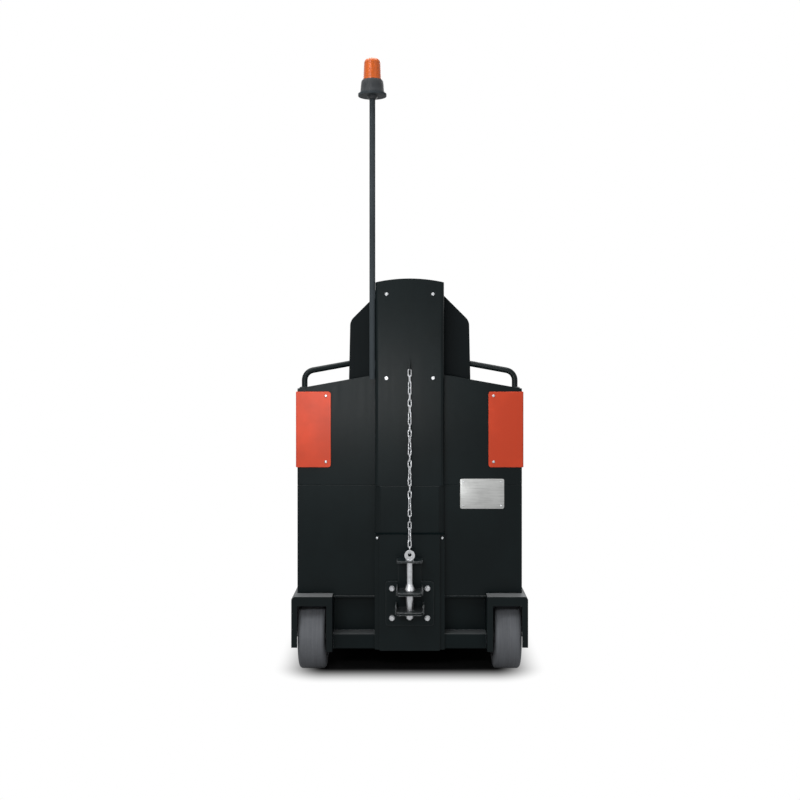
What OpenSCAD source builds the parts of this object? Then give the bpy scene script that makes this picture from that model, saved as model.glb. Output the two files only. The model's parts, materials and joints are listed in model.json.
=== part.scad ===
// Electric tow tractor: seated operator, tiller steering, three wheels, drop-pin coupling at the rear.
// +Y is forward, +X is to the right of someone looking forward, Z is up from the ground.

/* [Overall] */
// Length from the coupling jaw to the front bumper
overall_l = 1640; // [1400:5:1900]
// Width over the rear wheel housings
overall_w = 800; // [680:2:940]
// Height of the chassis underside above the ground
ground_clearance = 90; // [75:1:105]
// How far each wheel housing stands out beyond the body shell
housing_proud = 15; // [12:1:20]
// Distance from the drive wheel's axle to the bumper's face
front_overhang = 225; // [190:1:270]

/* [Body shell] */
// Thickness of the body's sheet panels
panel_t = 5; // [4:0.5:6]
// Height of the battery box deck, where lower and upper rear panels meet
deck_z = 647; // [560:1:740]
// Height of the upper shell's corners above the deck
wing_h = 331; // [280:1:380]
// Rise of the rear panel's top edge from the corners to the column
shoulder_rise = 46; // [36:1:56]
// Length of the battery box along the vehicle
battery_box_l = 560; // [480:1:640]
// Thickness of the padded side wings
wing_t = 30; // [25:1:36]
// Length of the side wings
wing_l = 360; // [300:1:420]
// Width of the corner guards on the rear face
guard_w = 120; // [100:1:140]

/* [Column] */
// Width of the column behind the backrest
column_w = 234; // [200:2:270]
// Height of the column's crown above the rear panel
column_rise = 329; // [280:1:380]
// How far the column stands behind the rear panel
column_depth = 30; // [25:1:36]
// Rise of the crown above the plate's corners
crown_rise = 13; // [10:1:24]
// Outside radius of folded sheet edges
fold_r = 12; // [9:1:15]

/* [Seat] */
// Width of the backrest at its foot
backrest_w = 431; // [370:1:500]
// How far the backrest's top lies below the column's crown
backrest_drop = 35; // [26:1:38]
// Thickness of the backrest cushion
backrest_t = 90; // [75:1:106]
// Width of the seat cushion
seat_w = 450; // [380:1:520]
// Thickness of the seat cushion
seat_t = 112; // [94:1:132]
// Diameter of the grab rails' tube
rail_d = 20; // [17:1:23]
// Height of the grab rails' bend above the wings
rail_lift = 28; // [23:1:34]

/* [Rear wheels] */
// Diameter of the rear wheels
rear_wheel_d = 250; // [210:1:290]
// Width of the rear tyres
rear_wheel_w = 92; // [78:1:106]
// Diameter of the rear axle bolts
axle_d = 30; // [25:1:35]

/* [Front] */
// Diameter of the drive wheel
drive_wheel_d = 250; // [210:1:290]
// Width of the drive tyre
drive_wheel_w = 80; // [66:1:94]
// Diameter of the upright drive motor
motor_d = 170; // [145:1:200]
// Height of the cowl's top
console_z = 850; // [720:5:990]

/* [Coupling] */
// How far the hitch plate stands behind the rear panel
hitch_depth = 40; // [34:1:47]
// Length of the jaw plates behind their flange
jaw_l = 80; // [68:1:94]
// Height of the lower jaw's top
jaw_lower_z = 240; // [205:1:280]
// Gap between the jaws
jaw_gap = 54; // [45:1:63]
// Diameter of the drawbar pin
pin_d = 25; // [21:1:29]
// Diameter of the chain's wire
chain_wire_d = 4; // [3.8:0.1:5.2]
// Length inside one chain link
chain_pitch = 20.4; // [18:0.2:24]

/* [Beacon] */
// Diameter of the beacon's pole
pole_d = 20; // [17:1:23]
// Height of the beacon's disc above the column's crown
pole_rise = 622; // [530:1:730]
// Diameter of the beacon's lens
lens_d = 62; // [53:1:72]

/* [Tiller] */
// Length of the tiller arm from its pivot to the head's middle
tiller_l = 430; // [360:5:500]
// Lean of the parked tiller from upright
tiller_lean = 30; // [25:1:35]

/* [Hidden] */
$fn = 64;
running_gap = 0.3;
pin_gap = 0.1;
clear_gap = 6;
cut = 1;

// Sheet and plate sizes that several pieces share
plate_t = 6;
tray_t = 8;
cover_t = 8;
flange_t = 8;
bumper_t = 40;

// Widths
body_w = overall_w - 2 * housing_proud;
tyre_outer_gap = 13;
tyre_inner_gap = 21;
rear_wheel_x = overall_w / 2 - plate_t - tyre_outer_gap - rear_wheel_w / 2;
housing_inner_x = rear_wheel_x - rear_wheel_w / 2 - tyre_inner_gap - plate_t;

// Lengthwise places, from the jaw's rear edge forward
recess_depth = 35;
beam_proud = 15;
axle_setback = 82;
tyre_rear_gap = 12;
tyre_front_gap = 28;
pan_setback = 45;
drive_bay_l = 195;
rear_y = -overall_l / 2;
front_y = overall_l / 2;
pin_y = rear_y + jaw_l / 2;
flange_y = rear_y + jaw_l;
hitch_face_y = flange_y + flange_t;
panel_y = hitch_face_y + hitch_depth;
column_face_y = panel_y - column_depth;
recess_y = panel_y + recess_depth;
beam_y = panel_y - beam_proud;
rear_axle_y = panel_y + axle_setback;
housing_rear_y = rear_axle_y - rear_wheel_d / 2 - tyre_rear_gap;
housing_front_y = rear_axle_y + rear_wheel_d / 2 + tyre_front_gap;
box_front_y = panel_y + battery_box_l;
pan_y = panel_y + pan_setback;
pan_t = 4;
pan_lip = 20;
kingpin_y = front_y - front_overhang;
front_frame_y0 = kingpin_y - drive_bay_l;
bumper_y = front_y - bumper_t;

// Heights
tyre_top_gap = 20;
housing_lift = 14;
beam_h = 51;
floor_rise = 62;
guide_rise = 111;
hitch_head_h = 79;
chain_rise = 18;
turntable_gap = 50;
housing_top_z = rear_wheel_d + tyre_top_gap + plate_t;
ledge_z = housing_top_z - tray_t;
housing_bottom_z = ground_clearance + housing_lift;
beam_top_z = ground_clearance + beam_h;
floor_z = ground_clearance + floor_rise;
corner_z = deck_z + wing_h;
shoulder_z = corner_z + shoulder_rise;
column_top_z = shoulder_z + column_rise;
backrest_top_z = column_top_z - backrest_drop;
beacon_z = column_top_z + pole_rise;
jaw_upper_z = jaw_lower_z + jaw_gap;
guide_z = jaw_upper_z + guide_rise;
hitch_plate_top_z = guide_z + hitch_head_h;
chain_top_z = shoulder_z + chain_rise;
turntable_z = drive_wheel_d + turntable_gap;

black = "#1b1d1f";
vinyl = "#222224";
plastic = "#26282a";
accent_red = "#d9442e";

// Shapes that repeat

// A box between two corners
module block(low, high) {
    translate(low) cube(high - low);
}

// The child and its mirror image across the vehicle's middle
module both_sides() {
    children();
    mirror([1, 0, 0]) children();
}

// The child at the given side, where 1 is right and -1 is left
module at_side(side) {
    if (side > 0) children(); else mirror([1, 0, 0]) children();
}

// A profile drawn as (y, z), extruded along X between two places
module along_x(x0, x1) {
    translate([x0, 0, 0]) rotate([90, 0, 90]) linear_extrude(x1 - x0) children();
}

// A profile drawn as (x, z), extruded along Y between two places
module along_y(y0, y1) {
    translate([0, y1, 0]) rotate([90, 0, 0]) linear_extrude(y1 - y0) children();
}

// A profile drawn as (x, y), extruded along Z between two places
module along_z(z0, z1) {
    translate([0, 0, z0]) linear_extrude(z1 - z0) children();
}

// A cylinder along X between two places
module rod_x(x0, x1, d) {
    translate([x0, 0, 0]) rotate([0, 90, 0]) cylinder(d = d, h = x1 - x0);
}

function unit(v) = v / norm(v);

// A convex outline with a radius at each corner
module rounded_outline(points, radii) difference() {
    n = len(points);
    polygon(points);
    for (i = [0 : n - 1]) if (radii[i] > 0) {
        before = unit(points[(i + n - 1) % n] - points[i]);
        after = unit(points[(i + 1) % n] - points[i]);
        half_angle = acos(before * after) / 2;
        reach = radii[i] / tan(half_angle);
        centre = points[i] + unit(before + after) * radii[i] / sin(half_angle);
        difference() {
            polygon([points[i], points[i] + before * reach, centre, points[i] + after * reach]);
            translate(centre) circle(r = radii[i]);
        }
    }
}

// A rectangle between two corners, with a radius at each of its corners
module round_box(low, high, radii) {
    rounded_outline([low, [high[0], low[1]], high, [low[0], high[1]]], radii);
}

// A centred rectangle with round corners
module round_rect(w, h, r) {
    round_box([-w / 2, -h / 2], [w / 2, h / 2], [r, r, r, r]);
}

// Half of a turned outline, completed by its mirror image along the axis
function mirrored(half) = concat(half, [for (i = [len(half) - 1 : -1 : 0]) [half[i][0], -half[i][1]]]);

// Chassis

sill_w = 40;

module floor_frame() color(black) {
    inner_x = body_w / 2 - sill_w;
    both_sides() block([inner_x, housing_front_y, ground_clearance], [body_w / 2, front_frame_y0, floor_z]);
    block([-body_w / 2, box_front_y, floor_z - plate_t], [body_w / 2, front_frame_y0, floor_z]);
    block([-inner_x, housing_front_y, ground_clearance], [inner_x, box_front_y, ground_clearance + tray_t]);
    block([-housing_inner_x, recess_y + plate_t, ground_clearance],
          [housing_inner_x, housing_front_y, ground_clearance + tray_t]);
}

// Wheel housing: a bent outer shell, an inner plate with a rear flange, and a strip over the tyre
housing_corner_r = 30;
housing_flange = 20;
housing_strip = 32;
housing_lip = 20;

module housing_section(inset) {
    outer_x = overall_w / 2 - inset;
    low = [housing_inner_x - (inset > 0 ? cut : 0), housing_bottom_z - (inset > 0 ? cut : 0)];
    round_box(low, [outer_x, housing_top_z - inset], [0, 0, fold_r - inset, 0]);
}

module wheel_housing(side) color(black) at_side(side) difference() {
    outer_x = overall_w / 2;
    r = housing_corner_r;
    union() {
        intersection() {
            along_y(housing_rear_y, housing_front_y) difference() {
                housing_section(0);
                housing_section(plate_t);
            }
            along_x(housing_inner_x, outer_x)
                round_box([housing_rear_y, housing_bottom_z], [housing_front_y, housing_top_z], [0, r, 0, 0]);
        }
        block([housing_inner_x, housing_rear_y, ground_clearance],
              [housing_inner_x + plate_t, housing_front_y, housing_top_z - plate_t]);
        block([housing_inner_x + plate_t, housing_rear_y, ground_clearance],
              [housing_inner_x + housing_flange, housing_rear_y + plate_t, housing_top_z - plate_t]);
        block([housing_inner_x + housing_flange, housing_rear_y, housing_top_z - housing_strip],
              [outer_x - plate_t, housing_rear_y + plate_t, housing_top_z - plate_t]);
        block([outer_x - housing_lip, housing_rear_y, housing_bottom_z],
              [outer_x - plate_t, housing_rear_y + plate_t, housing_top_z - plate_t]);
    }
    translate([0, rear_axle_y, rear_wheel_d / 2]) rod_x(housing_inner_x - cut, outer_x + cut, axle_d);
}

// Each axle bolt crosses one wheel housing, flush outside and with a nut inside
nut_t = 12;

module rear_axles() color("silver") both_sides() translate([0, rear_axle_y, rear_wheel_d / 2]) {
    rod_x(housing_inner_x, overall_w / 2, axle_d);
    translate([housing_inner_x - nut_t, 0, 0]) rotate([0, 90, 0])
        cylinder(d = axle_d * 1.6, h = nut_t, $fn = 6);
}

// Rear cross-member: an upright web in a recess, a box beam at its foot and a ledge at its head
ledge_proud = 4;

module rear_crossmember() color(black) {
    x = housing_inner_x;
    block([-x, recess_y, ground_clearance], [x, recess_y + plate_t, ledge_z]);
    along_x(-x, x) round_box([beam_y, ground_clearance], [recess_y, beam_top_z], [4, 0, 0, 4]);
    along_x(-x, x) round_box([panel_y - ledge_proud, ledge_z - plate_t], [recess_y, ledge_z], [2, 0, 0, 2]);
}

// Hitch plate: a raised face with a screwed flange along both edges, deeper above the cross-member's beam
hitch_flange_w = 17;
hitch_plate_w = column_w + 4;

module hat_outline(inset, open_y) {
    wide = hitch_plate_w / 2 - inset;
    face = wide - hitch_flange_w;
    face_y = hitch_face_y + inset;
    step_y = face_y + 0.35 * hitch_depth;
    polygon([[-wide, open_y], [-wide, step_y], [-face, step_y], [-face, face_y],
             [face, face_y], [face, step_y], [wide, step_y], [wide, open_y]]);
}

module hat_section(open_y) difference() {
    hat_outline(0, open_y);
    hat_outline(plate_t, open_y + cut);
}

module hitch_plate() color(black) {
    along_z(ground_clearance, ledge_z) hat_section(beam_y);
    along_z(ledge_z, hitch_plate_top_z - plate_t) hat_section(panel_y);
    along_z(hitch_plate_top_z - plate_t, hitch_plate_top_z) hat_outline(0, panel_y);
}

// Body shell

module rear_panel_lower() color(black) along_y(panel_y, panel_y + panel_t) {
    top_z = deck_z - running_gap;
    translate([-body_w / 2, housing_top_z]) square([body_w, top_z - housing_top_z]);
    translate([-housing_inner_x, ledge_z]) square([2 * housing_inner_x, top_z - ledge_z]);
}

shoulder_x = column_w / 2 + 10;

module rear_panel_upper() color(black) along_y(panel_y, panel_y + panel_t)
    polygon([[-body_w / 2, deck_z], [body_w / 2, deck_z], [body_w / 2, corner_z], [shoulder_x, shoulder_z],
             [-shoulder_x, shoulder_z], [-body_w / 2, corner_z]]);

module side_panel(side) color(black) at_side(side) along_x(body_w / 2 - panel_t, body_w / 2) {
    y0 = panel_y + panel_t;
    top_z = deck_z - running_gap;
    polygon([[y0, housing_top_z], [housing_front_y, housing_top_z], [housing_front_y, floor_z],
             [box_front_y, floor_z], [box_front_y, top_z], [y0, top_z]]);
}

// Upper side wall beside the seat; its top falls forward in a round sweep
wing_front_h = 70;
wing_sweep_l = 240;

module side_wing(side) color(black) at_side(side) along_x(body_w / 2 - wing_t, body_w / 2) difference() {
    y0 = panel_y + panel_t;
    centre = [y0 + wing_l - wing_sweep_l, deck_z + wing_front_h];
    translate([y0, deck_z]) square([wing_l, wing_h]);
    difference() {
        translate(centre) square([wing_sweep_l + cut, wing_h]);
        translate(centre) circle(r = wing_h - wing_front_h);
    }
}

// Hinges of the battery cover: a knuckle with a pin on the box, and the cover's knuckle beside it
hinge_r = 9;
hinge_pin_d = 10;
hinge_y = box_front_y + hinge_r + 3;
hinge_z = deck_z + 4;
knuckle_l = 58;
knuckle_gap = 2;
cover_half_w = body_w / 2 - wing_t - clear_gap;
hinge_x = cover_half_w - 2 * knuckle_l - knuckle_gap - 31;
strap_h = 25;

module seat_box_front() color(black) {
    fixed_x = hinge_x + knuckle_l + knuckle_gap;
    inner_x = body_w / 2 - panel_t;
    block([-inner_x, box_front_y - panel_t, floor_z], [inner_x, box_front_y, deck_z - running_gap]);
    both_sides() {
        block([fixed_x, box_front_y, hinge_z - strap_h - 5],
              [fixed_x + knuckle_l, hinge_y + hinge_r, hinge_z - 5]);
        translate([0, hinge_y, hinge_z]) {
            rod_x(fixed_x, fixed_x + knuckle_l, 2 * hinge_r);
            rod_x(hinge_x, fixed_x + cut, hinge_pin_d);
        }
    }
}

// Fixed deck strip between the rear panel and the battery cover
cover_rear_y = pan_y + pan_t + backrest_t + 15;

module rear_deck() color(black)
    block([-(body_w / 2 - wing_t), panel_y + panel_t, deck_z],
          [body_w / 2 - wing_t, cover_rear_y - clear_gap, deck_z + cover_t]);

// Column plate: a channel with folded edges under an arched crown, with the chain's hook on its face
hook_t = 4;
hook_l = 16;
hook_low = 4;
hook_h = 32;

module fold_form(w, face_y, open_y, r) {
    round_box([-w / 2, face_y], [w / 2, open_y], [r, r, 0, 0]);
}

module fold_section(open_y) difference() {
    fold_form(column_w, column_face_y, open_y, fold_r);
    fold_form(column_w - 2 * panel_t, column_face_y + panel_t, open_y + cut, fold_r - panel_t);
}

module column_plate() color(black) {
    crown_r = (pow(column_w / 2, 2) + pow(crown_rise, 2)) / (2 * crown_rise);
    along_z(deck_z, shoulder_z) fold_section(panel_y);
    intersection() {
        along_z(shoulder_z, column_top_z) fold_section(pan_y);
        along_y(column_face_y, pan_y) translate([0, column_top_z - crown_r]) circle(r = crown_r, $fn = 256);
    }
    translate([0, column_face_y, chain_top_z]) difference() {
        block([-hook_t / 2, -hook_l, -hook_low], [hook_t / 2, panel_t / 2, hook_h]);
        translate([0, -hook_l / 2, chain_wire_d / 2 + 0.2]) rod_x(-hook_t, hook_t, chain_wire_d + 2.4);
    }
}

// Column cover between the hitch plate and the column: a channel with chamfered edges, open towards the body
cover_chamfer = 18;
cover_proud = 4;

module chamfer_form(w, face_y, open_y, c) {
    polygon([[-w / 2, open_y], [-w / 2, face_y + c], [-w / 2 + c, face_y],
             [w / 2 - c, face_y], [w / 2, face_y + c], [w / 2, open_y]]);
}

module column_cover() color(black) along_z(hitch_plate_top_z, deck_z - running_gap) difference() {
    face_y = column_face_y - cover_proud;
    chamfer_form(column_w, face_y, panel_y, cover_chamfer);
    chamfer_form(column_w - 2 * panel_t, face_y + panel_t, panel_y + cut, cover_chamfer - panel_t / 2);
}

// Corner guards wrap the rear corners of the upper shell, with a round fold
guard_low = 61;
guard_top = 11;
guard_corner_r = 10;

module corner_guards() color(accent_red) both_sides() {
    z0 = deck_z + guard_low;
    z1 = corner_z - guard_top;
    r = guard_corner_r;
    x_out = body_w / 2 + panel_t;
    y_out = panel_y - panel_t;
    intersection() {
        along_z(z0, z1) difference() {
            round_box([x_out - guard_w, y_out], [x_out, y_out + guard_w], [0, panel_t, 0, 0]);
            translate([0, panel_y]) square([body_w / 2, guard_w]);
        }
        union() {
            along_y(y_out, panel_y) round_box([x_out - guard_w, z0], [x_out, z1], [r, 0, 0, r]);
            along_x(body_w / 2, x_out) round_box([y_out, z0], [y_out + guard_w, z1], [0, r, r, 0]);
        }
    }
}

// Battery: a tray with rows of cell lids and their filler caps
battery_gap = 20;
battery_rear = 70;
battery_front = 45;
battery_drop = 50;
cell_rows = 3;
cell_columns = 4;
cell_h = 12;
cap_d = 34;

module battery() color("dimgray") {
    half = housing_inner_x - battery_gap;
    y0 = panel_y + battery_rear;
    y1 = box_front_y - battery_front;
    top = deck_z - battery_drop;
    cell_w = 2 * half / cell_columns;
    cell_l = (y1 - y0) / cell_rows;
    block([-half, y0, ground_clearance + tray_t], [half, y1, top]);
    for (i = [0 : cell_columns - 1], j = [0 : cell_rows - 1])
        translate([-half + (i + 0.5) * cell_w, y0 + (j + 0.5) * cell_l, top]) {
            linear_extrude(cell_h) round_rect(cell_w - 8, cell_l - 8, 8);
            translate([0, 0, cell_h]) cylinder(d1 = cap_d, d2 = cap_d - 4, h = 10);
        }
}

// Seat

// Outline of the backrest: tapered sides, rounded slanting shoulders; inset moves every edge inwards
backrest_taper = 9;
backrest_foot_z = deck_z + 150;

module backrest_outline(inset, foot_z) {
    half_foot = backrest_w / 2 - inset;
    half_shoulder = half_foot - backrest_taper;
    half_top = column_w / 2 - 17 - inset / 2;
    top = backrest_top_z - inset;
    neck_z = top - (half_shoulder - half_top);
    rounded_outline([[-half_foot, foot_z], [half_foot, foot_z], [half_shoulder, neck_z], [half_top, top],
                     [-half_top, top], [-half_shoulder, neck_z]],
                    [0, 0, 40 - inset, 20 - inset, 20 - inset, 40 - inset]);
}

module backrest_pan() color(black) {
    foot_z = backrest_foot_z - 10;
    along_y(pan_y, pan_y + pan_t) backrest_outline(0, foot_z);
    along_y(pan_y + pan_t, pan_y + pan_t + pan_lip) difference() {
        backrest_outline(0, foot_z);
        backrest_outline(pan_t, foot_z - cut);
    }
}

module backrest_cushion() color(vinyl) along_y(pan_y + pan_t, pan_y + pan_t + backrest_t)
    backrest_outline(pan_t + running_gap, backrest_foot_z);

// Grab rail: upright stub, bend, and a rising run that is coped to the backrest pan's lip
rail_inset = 23;
rail_bend_r = 35;
weld_bead = 1;

module rail(side) color(black) at_side(side) difference() {
    stub_x = body_w / 2 - rail_inset;
    stub_y = panel_y + panel_t + wing_t / 2;
    end_x = backrest_w / 2 - 2 * backrest_taper;
    end_y = pan_y + pan_t + pan_lip / 2;
    rise = atan2(shoulder_rise, body_w / 2 - shoulder_x);
    turn = atan2(end_y - stub_y, stub_x - end_x);
    bend_reach = rail_bend_r * (1 - sin(rise));
    run_l = (norm([stub_x - end_x, end_y - stub_y]) - bend_reach) / cos(rise);
    bend_z = corner_z + rail_lift;
    translate([stub_x, stub_y, 0]) rotate([0, 0, -turn]) {
        translate([0, 0, corner_z]) cylinder(d = rail_d, h = rail_lift);
        translate([0, 0, bend_z]) cylinder(d = rail_d + weld_bead, h = 2 * weld_bead, center = true);
        translate([-rail_bend_r, 0, bend_z]) rotate([90, 0, 0])
            rotate_extrude(angle = 90 - rise) translate([rail_bend_r, 0]) circle(d = rail_d);
        translate([-bend_reach, 0, bend_z + rail_bend_r * cos(rise)]) rotate([0, -90 + rise, 0]) {
            cylinder(d = rail_d, h = run_l);
            cylinder(d = rail_d + weld_bead, h = 2 * weld_bead, center = true);
        }
    }
    along_y(pan_y - pan_lip, pan_y + 2 * pan_lip) backrest_outline(0, backrest_foot_z - 10);
}

// Battery cover with the seat cushion; it tips forward on hinges along its front edge
cover_front_y = box_front_y + 2;

module battery_cover() color(black) {
    block([-cover_half_w, cover_rear_y, deck_z], [cover_half_w, cover_front_y, deck_z + cover_t]);
    both_sides() difference() {
        union() {
            translate([0, hinge_y, hinge_z]) rod_x(hinge_x, hinge_x + knuckle_l, 2 * hinge_r);
            block([hinge_x, cover_front_y, deck_z], [hinge_x + knuckle_l, hinge_y, deck_z + cover_t]);
        }
        translate([0, hinge_y, hinge_z])
            rod_x(hinge_x - cut, hinge_x + knuckle_l + cut, hinge_pin_d + 2 * pin_gap);
    }
}

seat_gap = 3;
seat_corner_r = 40;

module seat_cushion() color(vinyl) along_z(deck_z + cover_t, deck_z + cover_t + seat_t) {
    r = seat_corner_r;
    round_box([-seat_w / 2, cover_rear_y + seat_gap], [seat_w / 2, cover_front_y], [r, r, r, r]);
}

// Beacon

pole_x = -(column_w / 2 + pole_d / 2 + running_gap);
pole_y = column_face_y + 12;
pole_foot = 14;
disc_d = lens_d + 35;
disc_t = 8;
beacon_base_h = 47;
lens_side_h = 60;
lens_dome_h = 14;
clip_h = 30;

module beacon_pole() color(black) {
    translate([pole_x, pole_y, shoulder_z - pole_foot])
        cylinder(d = pole_d, h = beacon_z - shoulder_z + pole_foot);
    for (z = [shoulder_z + 20, column_top_z - 70])
        block([pole_x, pole_y - 6, z], [-column_w / 2, pole_y + 6, z + clip_h]);
    translate([pole_x, pole_y, beacon_z]) cylinder(d = disc_d, h = disc_t);
}

module beacon_base() color(plastic) translate([pole_x, pole_y, beacon_z + disc_t]) rotate_extrude() {
    foot = lens_d / 2 + 11;
    neck = lens_d / 2 + 4;
    polygon([[0, 0], [foot, 0], [foot, 6], [foot - 3, 9], [neck, beacon_base_h - 6],
             [neck - 3, beacon_base_h], [0, beacon_base_h]]);
}

module beacon_lens() color("orange") translate([pole_x, pole_y, beacon_z + disc_t + beacon_base_h])
    rotate_extrude() {
        foot = lens_d / 2;
        head = foot - 2.5;
        dome_r = 16;
        dome = [for (k = [0 : 4]) let (a = 90 * k / 4)
            [head - dome_r + dome_r * cos(a), lens_side_h + lens_dome_h * sin(a)]];
        top = [0, lens_side_h + lens_dome_h];
        polygon(concat([[0, 0], [foot, 0], [foot, 4], [foot - 1, 6]], dome, [top]));
    }

// Coupling

jaw_t = 10;
jaw_upper_w = 90;
jaw_lower_w = 97;
jaw_corner_r = 12;
cheek_t = 5;
cheek_upper_h = 14;
cheek_lower_h = 19;
cheek_r = 5;
coupling_w = column_w - 70;
coupling_low = 76;
coupling_high = 74;
coupling_mid_z = jaw_lower_z + 13;
rod_d = pin_d - 5;
guide_w = 86;
guide_web_w = 80;
guide_t = 6;

module jaw_plate(w, z) difference() {
    r = jaw_corner_r;
    half = w / 2 - cheek_t;
    along_z(z, z + jaw_t) round_box([-half, rear_y], [half, flange_y], [r, r, 0, 0]);
    translate([0, pin_y, z - cut]) cylinder(d = pin_d + 2 * pin_gap, h = jaw_t + 2 * cut);
}

module hitch_bracket() color(black) {
    top_z = coupling_mid_z + coupling_high;
    along_y(flange_y, hitch_face_y) translate([0, coupling_mid_z])
        round_box([-coupling_w / 2, -coupling_low], [coupling_w / 2, coupling_high], [10, 10, 10, 10]);
    jaw_plate(jaw_upper_w, jaw_upper_z);
    jaw_plate(jaw_lower_w, jaw_lower_z - jaw_t);
    block([-guide_web_w / 2, flange_y, top_z], [guide_web_w / 2, flange_y + guide_t, guide_z]);
    difference() {
        along_z(guide_z - guide_t, guide_z)
            round_box([-guide_w / 2, pin_y - 14], [guide_w / 2, flange_y], [8, 8, 0, 0]);
        translate([0, pin_y, guide_z - guide_t - cut])
            cylinder(d = rod_d + 2 * pin_gap, h = guide_t + 2 * cut);
    }
}

// Side plates along both edges of each jaw, standing above it as cheeks
module jaw_cheeks() color(black) both_sides()
    for (jaw = [[jaw_upper_w, jaw_upper_z, cheek_upper_h], [jaw_lower_w, jaw_lower_z - jaw_t, cheek_lower_h]])
        along_x(jaw[0] / 2 - cheek_t, jaw[0] / 2)
            round_box([rear_y + jaw_corner_r, jaw[1]], [flange_y, jaw[1] + jaw_t + jaw[2]],
                      [cheek_r, 0, 0, cheek_r]);

// Tow pin: one turned piece with a flared collar, and a lug for the chain on its head
pin_tip = 22;
collar_d = pin_d + 13;
lug_d = 35;
lug_t = 4;
lug_hole_d = 12;
lug_z = guide_z + running_gap + lug_d / 2;
lug_hole_z = lug_z + 2;

module tow_pin() color("silver") translate([0, pin_y, 0]) {
    tip_z = jaw_lower_z - jaw_t - pin_tip;
    collar_z = jaw_upper_z + jaw_t + running_gap;
    rotate_extrude()
        polygon([[0, tip_z], [pin_d / 2 - 5, tip_z], [pin_d / 2, tip_z + 6], [pin_d / 2, collar_z],
                 [collar_d / 2, collar_z], [collar_d / 2, collar_z + 5], [rod_d / 2, collar_z + 24],
                 [rod_d / 2, guide_z + 3], [0, guide_z + 3]]);
    along_y(-lug_t / 2, lug_t / 2) difference() {
        union() {
            translate([0, lug_z]) circle(d = lug_d);
            translate([-rod_d / 2 - 2, lug_z - lug_d / 2]) square([rod_d + 4, lug_d / 2]);
        }
        translate([0, lug_hole_z]) circle(d = lug_hole_d);
    }
}

// A straight chain of welded links from the column's hook to the pin's lug, each link turned a quarter and a
// share of the chain's twist
chain_link_w = 3 * chain_wire_d + 2;
chain_twists = 3;
chain_slack = 1;
link_sides = 6;
link_arc_steps = 4;

module tow_chain() color("silver") {
    top = [0, column_face_y - hook_l / 2, chain_top_z];
    bottom = [0, pin_y, lug_hole_z + lug_hole_d / 2 - chain_slack];
    span = norm(bottom - top);
    count = 2 * round(span / chain_pitch / 2);
    link_turn = 90 + 180 * chain_twists / (count - 1);
    lean = atan2(top[1] - bottom[1], top[2] - bottom[2]);
    translate(top) rotate([-lean, 0, 0]) for (i = [0 : count - 1])
        translate([0, 0, -(i + 0.5) * span / count]) rotate([0, 0, i * link_turn])
            chain_link(span / count + running_gap);
}

// One link with the given length inside: a six-sided wire swept round a long oval
module chain_link(inside_l) {
    r = (chain_link_w - chain_wire_d) / 2;
    half = (inside_l + chain_wire_d) / 2 - r;
    stations = [for (end = [0, 1], k = [0 : link_arc_steps]) [end, 180 * (end + k / link_arc_steps)]];
    n = len(stations);
    points = [for (st = stations, j = [0 : link_sides - 1])
        let (a = 360 * j / link_sides, reach = r + chain_wire_d / 2 * cos(a))
        [reach * cos(st[1]), chain_wire_d / 2 * sin(a), reach * sin(st[1]) + half * (1 - 2 * st[0])]];
    faces = [for (i = [0 : n - 1], j = [0 : link_sides - 1])
        let (next_i = (i + 1) % n, next_j = (j + 1) % link_sides)
        [i * link_sides + j, next_i * link_sides + j, next_i * link_sides + next_j, i * link_sides + next_j]];
    polyhedron(points, faces);
}

// Wheels

// A solid tyre with round shoulders
tyre_t = 40;
shoulder_r = 20;
shoulder_steps = 5;

module tyre(d, w, rim_d) rotate([0, 90, 0]) rotate_extrude(convexity = 4) {
    r = min(shoulder_r, w / 4);
    shoulder = [for (k = [0 : shoulder_steps]) let (a = 90 * k / shoulder_steps)
        [d / 2 - r + r * sin(a), -w / 2 + r - r * cos(a)]];
    polygon(mirrored(concat([[rim_d / 2, -w / 2]], shoulder)));
}

// A hub with a boss, a dished web and a rim
web_t = 16;
rim_t = 12;

module wheel_hub(rim_d, w, boss_d, boss_l, bore_d) rotate([0, 90, 0]) rotate_extrude(convexity = 4)
    polygon(mirrored([[bore_d / 2, -boss_l / 2], [boss_d / 2, -boss_l / 2], [boss_d / 2, -web_t],
                      [rim_d / 2 - rim_t, -web_t / 2], [rim_d / 2 - rim_t, -w / 2], [rim_d / 2, -w / 2]]));

rear_rim_d = rear_wheel_d - 2 * tyre_t;
boss_wall = 15;
hub_inset = 3;
boss_proud = 4;

module rear_tyre(side) color("#6f7479") translate([side * rear_wheel_x, rear_axle_y, rear_wheel_d / 2])
    tyre(rear_wheel_d, rear_wheel_w, rear_rim_d);

module rear_hub(side) color("#3b3e41") translate([side * rear_wheel_x, rear_axle_y, rear_wheel_d / 2])
    wheel_hub(rear_rim_d, rear_wheel_w - 2 * hub_inset, axle_d + 2 * boss_wall, rear_wheel_w + 2 * boss_proud,
              axle_d + 2 * pin_gap);

// Front frame and cowl

turntable_t = 12;
neck_d = 180;
cheek_x = 200;

module front_frame() color(black) {
    inner_y = bumper_y - panel_t - 2 * clear_gap;
    difference() {
        block([-cheek_x - plate_t, front_frame_y0, turntable_z],
              [cheek_x + plate_t, inner_y, turntable_z + turntable_t]);
        translate([0, kingpin_y, turntable_z - cut])
            cylinder(d = neck_d + 2 * running_gap, h = turntable_t + 2 * cut);
    }
    both_sides() {
        block([cheek_x, front_frame_y0, ground_clearance], [cheek_x + plate_t, bumper_y, turntable_z]);
        block([cheek_x + plate_t, front_frame_y0, ground_clearance],
              [body_w / 2, front_frame_y0 + plate_t, floor_z]);
    }
}

bumper_h = 140;
bumper_r = 34;
bumper_inset = 60;
bumper_lift = 5;

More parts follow.
